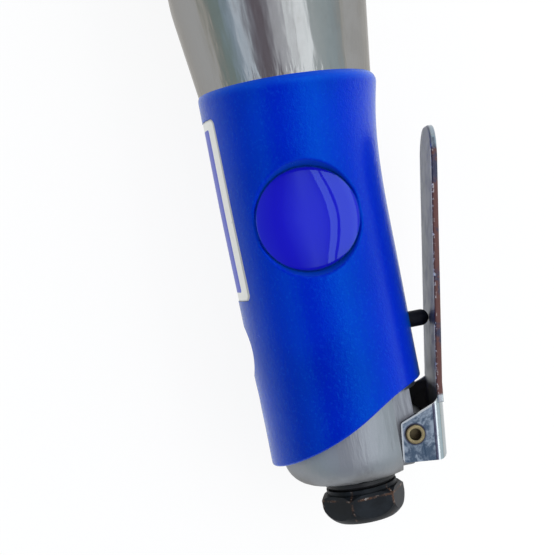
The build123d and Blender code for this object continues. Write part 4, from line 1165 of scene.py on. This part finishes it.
@dataclass
class Handle:
    """Casting, blue sleeve, badge and label."""

    casting: Casting = Casting()
    sleeve: MouldedSleeve = MouldedSleeve()
    badge: ResinBadge = ResinBadge()
    label: BorderedLabel = BorderedLabel()
    badge_edge: float = 0.0010
    badge_sides: int = 128
    badge_rings: int = 16
    badge_power: float = 2.7

    def build_badge(self) -> bpy.types.Object:
        """Raises the badge's resin, nearly flat in the middle and steep at its edge.

        Returns:
            The badge.
        """
        low, high = (Vector(corner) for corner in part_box("badge_disc"))
        rise = high.z - low.z - self.badge_edge
        inner_r = BADGE_R * math.cos(math.pi / self.badge_sides)
        Bench.clear()
        bpy.ops.mesh.primitive_circle_add(
            vertices=self.badge_sides,
            radius=BADGE_R,
            fill_type="NGON",
            location=(BADGE_AT.x, BADGE_AT.y, low.z),
        )
        badge = Bench.name("badge_dome")
        Bench.settle()
        Bench.thicken(self.badge_edge)
        share = 1.0
        for ring in range(1, self.badge_rings + 1):
            last, share = share, math.cos(math.pi / 2.0 * ring / (self.badge_rings + 1))
            bpy.ops.mesh.inset(thickness=(last - share) * inner_r)
            step = rise * (last**self.badge_power - share**self.badge_power)
            bpy.ops.transform.translate(value=(0.0, 0.0, step))
        Bench.close()
        return badge

    def build(self) -> None:
        """Dresses the outside of the handle and fits the badge's resin."""
        Workshop.dress(
            {"motor_housing": self.casting, "grip_sleeve": self.sleeve, "side_label": self.label}
        )
        badge = self.build_badge()
        Workshop.fit(badge, "housing", Slot.BADGE, self.badge)
        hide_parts("badge_disc")


@dataclass
class AirInlet:
    """Hexagon bushing with its pipe thread, seal and screen."""

    bore_r: float = 0.0056
    ridge: float = 0.00062
    pitch: float = 0.001411
    first_x: float = 0.0007
    turns: int = 8
    steps: int = 56
    overlap: float = 1.06
    foot: float = 0.86
    crest: float = 0.30

    def build_thread(self) -> bpy.types.Object:
        """Winds the thread's ridge along the bore.

        Returns:
            The thread.
        """
        Bench.clear()
        mean_r = self.bore_r - self.ridge / 2.0
        width = self.ridge * self.overlap
        bpy.ops.mesh.primitive_plane_add(size=width, location=(self.first_x, mean_r, 0.0))
        thread = Bench.name("inlet_thread")
        Bench.settle()
        bpy.ops.object.mode_set(mode="EDIT")
        bpy.ops.mesh.select_all(action="DESELECT")
        bpy.ops.mesh.select_mode(type="VERT")
        bpy.ops.object.mode_set(mode="OBJECT")
        for vertex in thread.data.vertices:
            vertex.select = vertex.co.y > mean_r
        bpy.ops.object.mode_set(mode="EDIT")
        foot = self.pitch * self.foot / width
        centre = (self.first_x, self.bore_r, 0.0)
        bpy.ops.transform.resize(value=(foot, 1.0, 1.0), center_override=centre)
        bpy.ops.mesh.select_all(action="INVERT")
        centre = (self.first_x, self.bore_r - self.ridge, 0.0)
        bpy.ops.transform.resize(value=(self.crest, 1.0, 1.0), center_override=centre)
        bpy.ops.object.mode_set(mode="OBJECT")
        Bench.wind(thread, "X", self.pitch, self.turns, self.steps)
        return thread

    def build(self) -> None:
        """Dresses the inlet and fits its thread."""
        Workshop.dress({"inlet_bushing": HEX_BLACK, "inlet_seal": RUBBER, "inlet_screen": BRASS})
        Workshop.fit(self.build_thread(), "housing", Slot.BLACK_STEEL, PLAIN_BLACK)


@dataclass(frozen=True)
class CoilSpring:
    """Compression spring wound in place of a CAD spring."""

    name: str
    node: str
    body: str
    joint: str
    axis: str
    wire_r: float
    turns: int
    travel: float
    fixed_ahead: bool
    steps: int = 40
    sides: int = 12

    def span(self) -> tuple[Vector, Vector, int]:
        """Both corners of the CAD spring's box and the index of its axis."""
        low, high = (Vector(corner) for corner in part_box(self.node))
        return low, high, "XYZ".index(self.axis)

    def build_coil(self) -> bpy.types.Object:
        """Winds the wire from one end of the CAD spring's box to the other.

        Returns:
            The spring.
        """
        low, high, way = self.span()
        start = middle(self.node)
        start[way] = low[way] + self.wire_r
        offset = Vector()
        offset[1 - way] = (high.z - low.z) / 2.0 - self.wire_r
        Bench.clear()
        bpy.ops.mesh.primitive_circle_add(vertices=self.sides, radius=self.wire_r, location=offset)
        coil = Bench.name(self.name)
        Bench.settle()
        rise = (high[way] - low[way] - 2.0 * self.wire_r) / self.turns
        Bench.wind(coil, self.axis, rise, self.turns, self.steps)
        coil.location = start
        Bench.settle()
        return coil

    def build(self) -> None:
        """Fits the spring in place of the CAD one."""
        low, high, way = self.span()
        coil = self.build_coil()
        Workshop.fit(coil, self.body, Slot.SPRING, WIRE)
        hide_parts(self.node)
        direction = Vector()
        direction[way] = 1.0
        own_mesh(coil)


@dataclass
class Throttle:
    """Lever on its rivet, the stem that it presses and the valve behind it."""

    chrome: WornChrome = WornChrome()
    spring: CoilSpring = CoilSpring(
        "valve_coil",
        "valve_spring",
        "housing",
        joint="throttle_valve",
        axis="Y",
        wire_r=0.0004,
        turns=4,
        travel=0.0035,
        fixed_ahead=True,
    )
    ear_front: tuple[Pair, ...] = (
        (0.0026, 0.0026),
        (0.0074, 0.0016),
        (0.0096, -0.0054),
        (0.0104, -0.0073),
        (0.0064, -0.0070),
    )
    ear_inset: float = 0.0001
    ear_bevel: float = 0.0002
    ear_segments: int = 2

    def build_ear_front(self) -> bpy.types.Object:
        """Cuts the longer front of the far ear from sheet, by its outline from the pivot.

        Returns:
            The front of the ear.
        """
        Bench.clear()
        foot = (PIVOT_AT.x, PIVOT_AT.y, self.ear_inset - LEVER_HALF)
        corners = len(self.ear_front)
        bpy.ops.mesh.primitive_circle_add(vertices=corners, fill_type="NGON", location=foot)
        ear = Bench.name("far_ear_front")
        for vertex, (ahead, side) in zip(ear.data.vertices, self.ear_front):
            vertex.co = (ahead, side, 0.0)
        Bench.settle()
        Bench.thicken(self.chrome.sheet - 2.0 * self.ear_inset)
        Bench.close()
        Bench.apply(ear, "BEVEL", width=self.ear_bevel, segments=self.ear_segments)
        return ear

    def build(self) -> None:
        """Dresses the throttle and fits its ear and spring."""
        Workshop.dress(
            {
                "throttle_lever": self.chrome,
                "lever_pin": RIVET_BRASS,
                "valve_stem": PLAIN_BLACK,
                "stem_bushing": BRONZE,
                "stem_o_ring": RUBBER,
                "valve_seat": BRASS,
                "throttle_valve": ACETAL,
                "valve_plug": BRASS,
            }
        )
        Workshop.fit(self.build_ear_front(), "lever", Slot.CHROME, self.chrome)
        self.spring.build()


@dataclass
class Motor:
    """Vane motor with its plates and bearings."""

    def build(self) -> None:
        """Dresses the motor."""
        for end in ("rear", "front"):
            Workshop.dress(
                {
                    f"{end}_end_plate": IRON,
                    f"{end}_bearing_outer": TURNED_STEEL,
                    f"{end}_bearing_balls": BALL_STEEL,
                    f"{end}_bearing_inner": TURNED_STEEL,
                }
            )
        Workshop.dress(
            {
                "cylinder_liner": TURNED_STEEL,
                "locating_pin": STEEL,
                "rotor": TURNED_STEEL,
                "rotor_vanes": VANE,
            }
        )


@dataclass
class GearTrain:
    """Planet gears and the crank that carries them."""

    planets: int = 3

    def build(self) -> None:
        """Dresses the gears and the crank."""
        Workshop.dress({f"planet_gear_{k + 1}": STEEL for k in range(self.planets)})
        Workshop.dress(
            {
                "ring_gear": TURNED_STEEL,
                "planet_pins": STEEL,
                "crankshaft": TURNED_STEEL,
                "crank_washer": WIRE,
                "crank_bush": BRONZE,
                "drive_bushing": BRONZE,
            }
        )


@dataclass
class RatchetHead:
    """Clamp nut, neck and head with the square drive and the reverse knob."""

    detent: CoilSpring = CoilSpring(
        "detent_coil",
        "detent_spring",
        "anvil",
        joint="detent_ball",
        axis="X",
        wire_r=0.00028,
        turns=3,
        travel=0.00085,
        fixed_ahead=False,
    )

    def build(self) -> None:
        """Dresses the head and fits the detent's spring."""
        Workshop.dress(
            {
                "clamp_nut": NUT_STEEL,
                "ratchet_housing": HEAD_STEEL,
                "ratchet_yoke": STEEL,
                "ratchet_anvil": DRIVE_STEEL,
                "anvil_washer": WIRE,
                "anvil_ring": WIRE,
                "ratchet_pawl": STEEL,
                "pawl_pin": STEEL,
                "reverse_knob": PLAIN_BLACK,
                "pawl_plunger": STEEL,
                "plunger_spring": WIRE,
                "detent_ball": BALL_STEEL,
            }
        )
        self.detent.build()


@dataclass(frozen=True)
class SoftBox:
    """One panel of soft light that faces down.

    Its radiance is what a mirror would show of it.
    """

    name: str
    centre: Point
    size: Pair
    radiance: float
    colour: Colour = WHITE
    mirrored: bool = True

    def build(self) -> None:
        """Hangs the lamp."""
        bpy.ops.object.light_add(type="AREA", location=self.centre)
        lamp = bpy.context.object
        lamp.name = self.name
        lamp.data.shape = "RECTANGLE"
        lamp.data.size, lamp.data.size_y = self.size
        lamp.data.energy = self.radiance * math.pi * self.size[0] * self.size[1]
        lamp.data.color = self.colour
        lamp.visible_glossy = self.mirrored


@dataclass
class Studio:
    """Pale floor, soft light from above and the photograph's camera."""

    floor_half: float = 20.0
    floor_gap: float = 0.0002
    floor_colour: Colour = (0.93, 0.93, 0.925)
    floor_glow: float = 0.90
    view_angle: float = math.radians(25.5763)
    camera_at: Point = (0.072750, 0.011197, 0.299715)
    camera_right: Point = (-0.18972, -0.98180, 0.00865)
    camera_up: Point = (0.98118, -0.18990, -0.03493)
    camera_back: Point = (0.03594, 0.00186, 0.99935)
    clip_start: float = 0.01
    boxes: tuple[SoftBox, ...] = (
        SoftBox("window_near", (0.10, -0.265, 1.0), (1.5, 0.110), 1.9, (0.93, 0.97, 1.0)),
        SoftBox("window_far", (0.10, -0.575, 1.0), (1.5, 0.410), 1.9, (0.93, 0.97, 1.0)),
        SoftBox("fill", (0.10, 0.85, 0.95), (1.5, 0.30), 0.9, (0.80, 0.90, 1.0)),
        SoftBox("ceiling", (0.10, -1.00, 0.8), (1.6, 1.0), 2.3, mirrored=False),
    )
    sky: Stops = (
        (0.00, (0.62, 0.63, 0.62)),
        (0.07, (0.48, 0.56, 0.53)),
        (0.145, (0.44, 0.58, 0.57)),
        (0.205, (0.60, 0.77, 0.96)),
        (0.29, (0.58, 0.62, 0.70)),
        (0.34, (0.40, 0.38, 0.46)),
        (0.40, (0.27, 0.22, 0.26)),
        (0.44, (0.30, 0.26, 0.31)),
        (0.48, (0.60, 0.61, 0.70)),
        (0.51, (1.10, 1.11, 1.20)),
        (0.54, (0.95, 0.97, 1.06)),
        (0.58, (0.42, 0.44, 0.49)),
        (0.67, (0.30, 0.32, 0.36)),
        (0.72, (0.88, 0.96, 1.00)),
        (0.80, (0.86, 0.97, 1.00)),
        (0.90, (0.74, 0.89, 0.96)),
        (1.00, (0.62, 0.64, 0.65)),
    )
    horizon: Colour = (0.98, 0.92, 0.80)
    horizon_z: Pair = (0.13, 0.02)

    def build_floor(self) -> None:
        """Lays a plain floor under the tool."""
        Bench.clear()
        level = CAD_BOX[0].z - self.floor_gap
        bpy.ops.mesh.primitive_plane_add(size=2.0 * self.floor_half, location=(0.0, 0.0, level))
        floor = Bench.name("studio_floor")
        Bench.settle()
        s = Surface("studio_floor")
        paint = s.node("ShaderNodeBsdfDiffuse", {}, {"Color": self.floor_colour})
        glow = s.node("ShaderNodeEmission", {}, {"Color": WHITE, "Strength": 1.0})
        ray = s.node("ShaderNodeLightPath", {}, {}, "Is Camera Ray").socket.node.outputs
        seen = Value(s, ray["Is Camera Ray"])
        for kind in ("Is Glossy Ray", "Is Transmission Ray"):
            seen = seen.most(Value(s, ray[kind]))
        share = seen * self.floor_glow
        s.node_output(s.node("ShaderNodeMixShader", {}, {0: share, 1: paint, 2: glow}))
        floor.data.materials.append(s.material)

    def build_world(self) -> None:
        """Makes a soft sky whose bands run along the tool, pale near the horizon."""
        world = bpy.data.worlds.new("studio_sky")
        world.use_nodes = True
        bpy.context.scene.world = world
        sheet = NodeSheet(world.node_tree)
        _, y, z = sheet.parts(sheet.node("ShaderNodeTexCoord", {}, {}, "Generated"))
        across = (0.0 - y).angle(z) * (1.0 / math.pi) + 0.5
        bands = sheet.node("ShaderNodeValToRGB", {"stops": self.sky}, {"Fac": across})
        sky = sheet.mix(z.between(*self.horizon_z), bands, self.horizon)
        seen = sheet.node("ShaderNodeLightPath", {}, {}, "Is Camera Ray")
        sky = sheet.mix(seen, sky, WHITE)
        background = sheet.node("ShaderNodeBackground", {}, {"Color": sky, "Strength": 1.0})
        output = sheet.tree.nodes.new("ShaderNodeOutputWorld")
        sheet.tree.links.new(background.socket, output.inputs["Surface"])

    def build_camera(self) -> None:
        """Sets the camera where the photograph was taken from."""
        data = bpy.data.cameras.new("camera")
        data.angle = self.view_angle
        data.clip_start = self.clip_start
        camera = bpy.data.objects.new("camera", data)
        bpy.context.scene.collection.objects.link(camera)
        axes = (self.camera_right, self.camera_up, self.camera_back)
        turn = Matrix([Vector(axis) for axis in axes]).transposed()
        turn = turn.to_quaternion().to_matrix().to_4x4()
        camera.matrix_world = Matrix.Translation(self.camera_at) @ turn
        bpy.context.scene.camera = camera

    def build(self) -> None:
        """Builds the studio."""
        self.build_floor()
        self.build_world()
        self.build_camera()
        for box in self.boxes:
            box.build()
        bpy.context.scene.view_settings.view_transform = "Standard"


def main() -> None:
    """Builds the studio and every sub-assembly in order."""
    logging.basicConfig(level=logging.INFO, format="%(name)s: %(message)s")
    Studio().build()
    for assembly in (Handle(), AirInlet(), Throttle(), Motor(), GearTrain(), RatchetHead()):
        assembly.build()


if __name__ == "__main__":
    main()
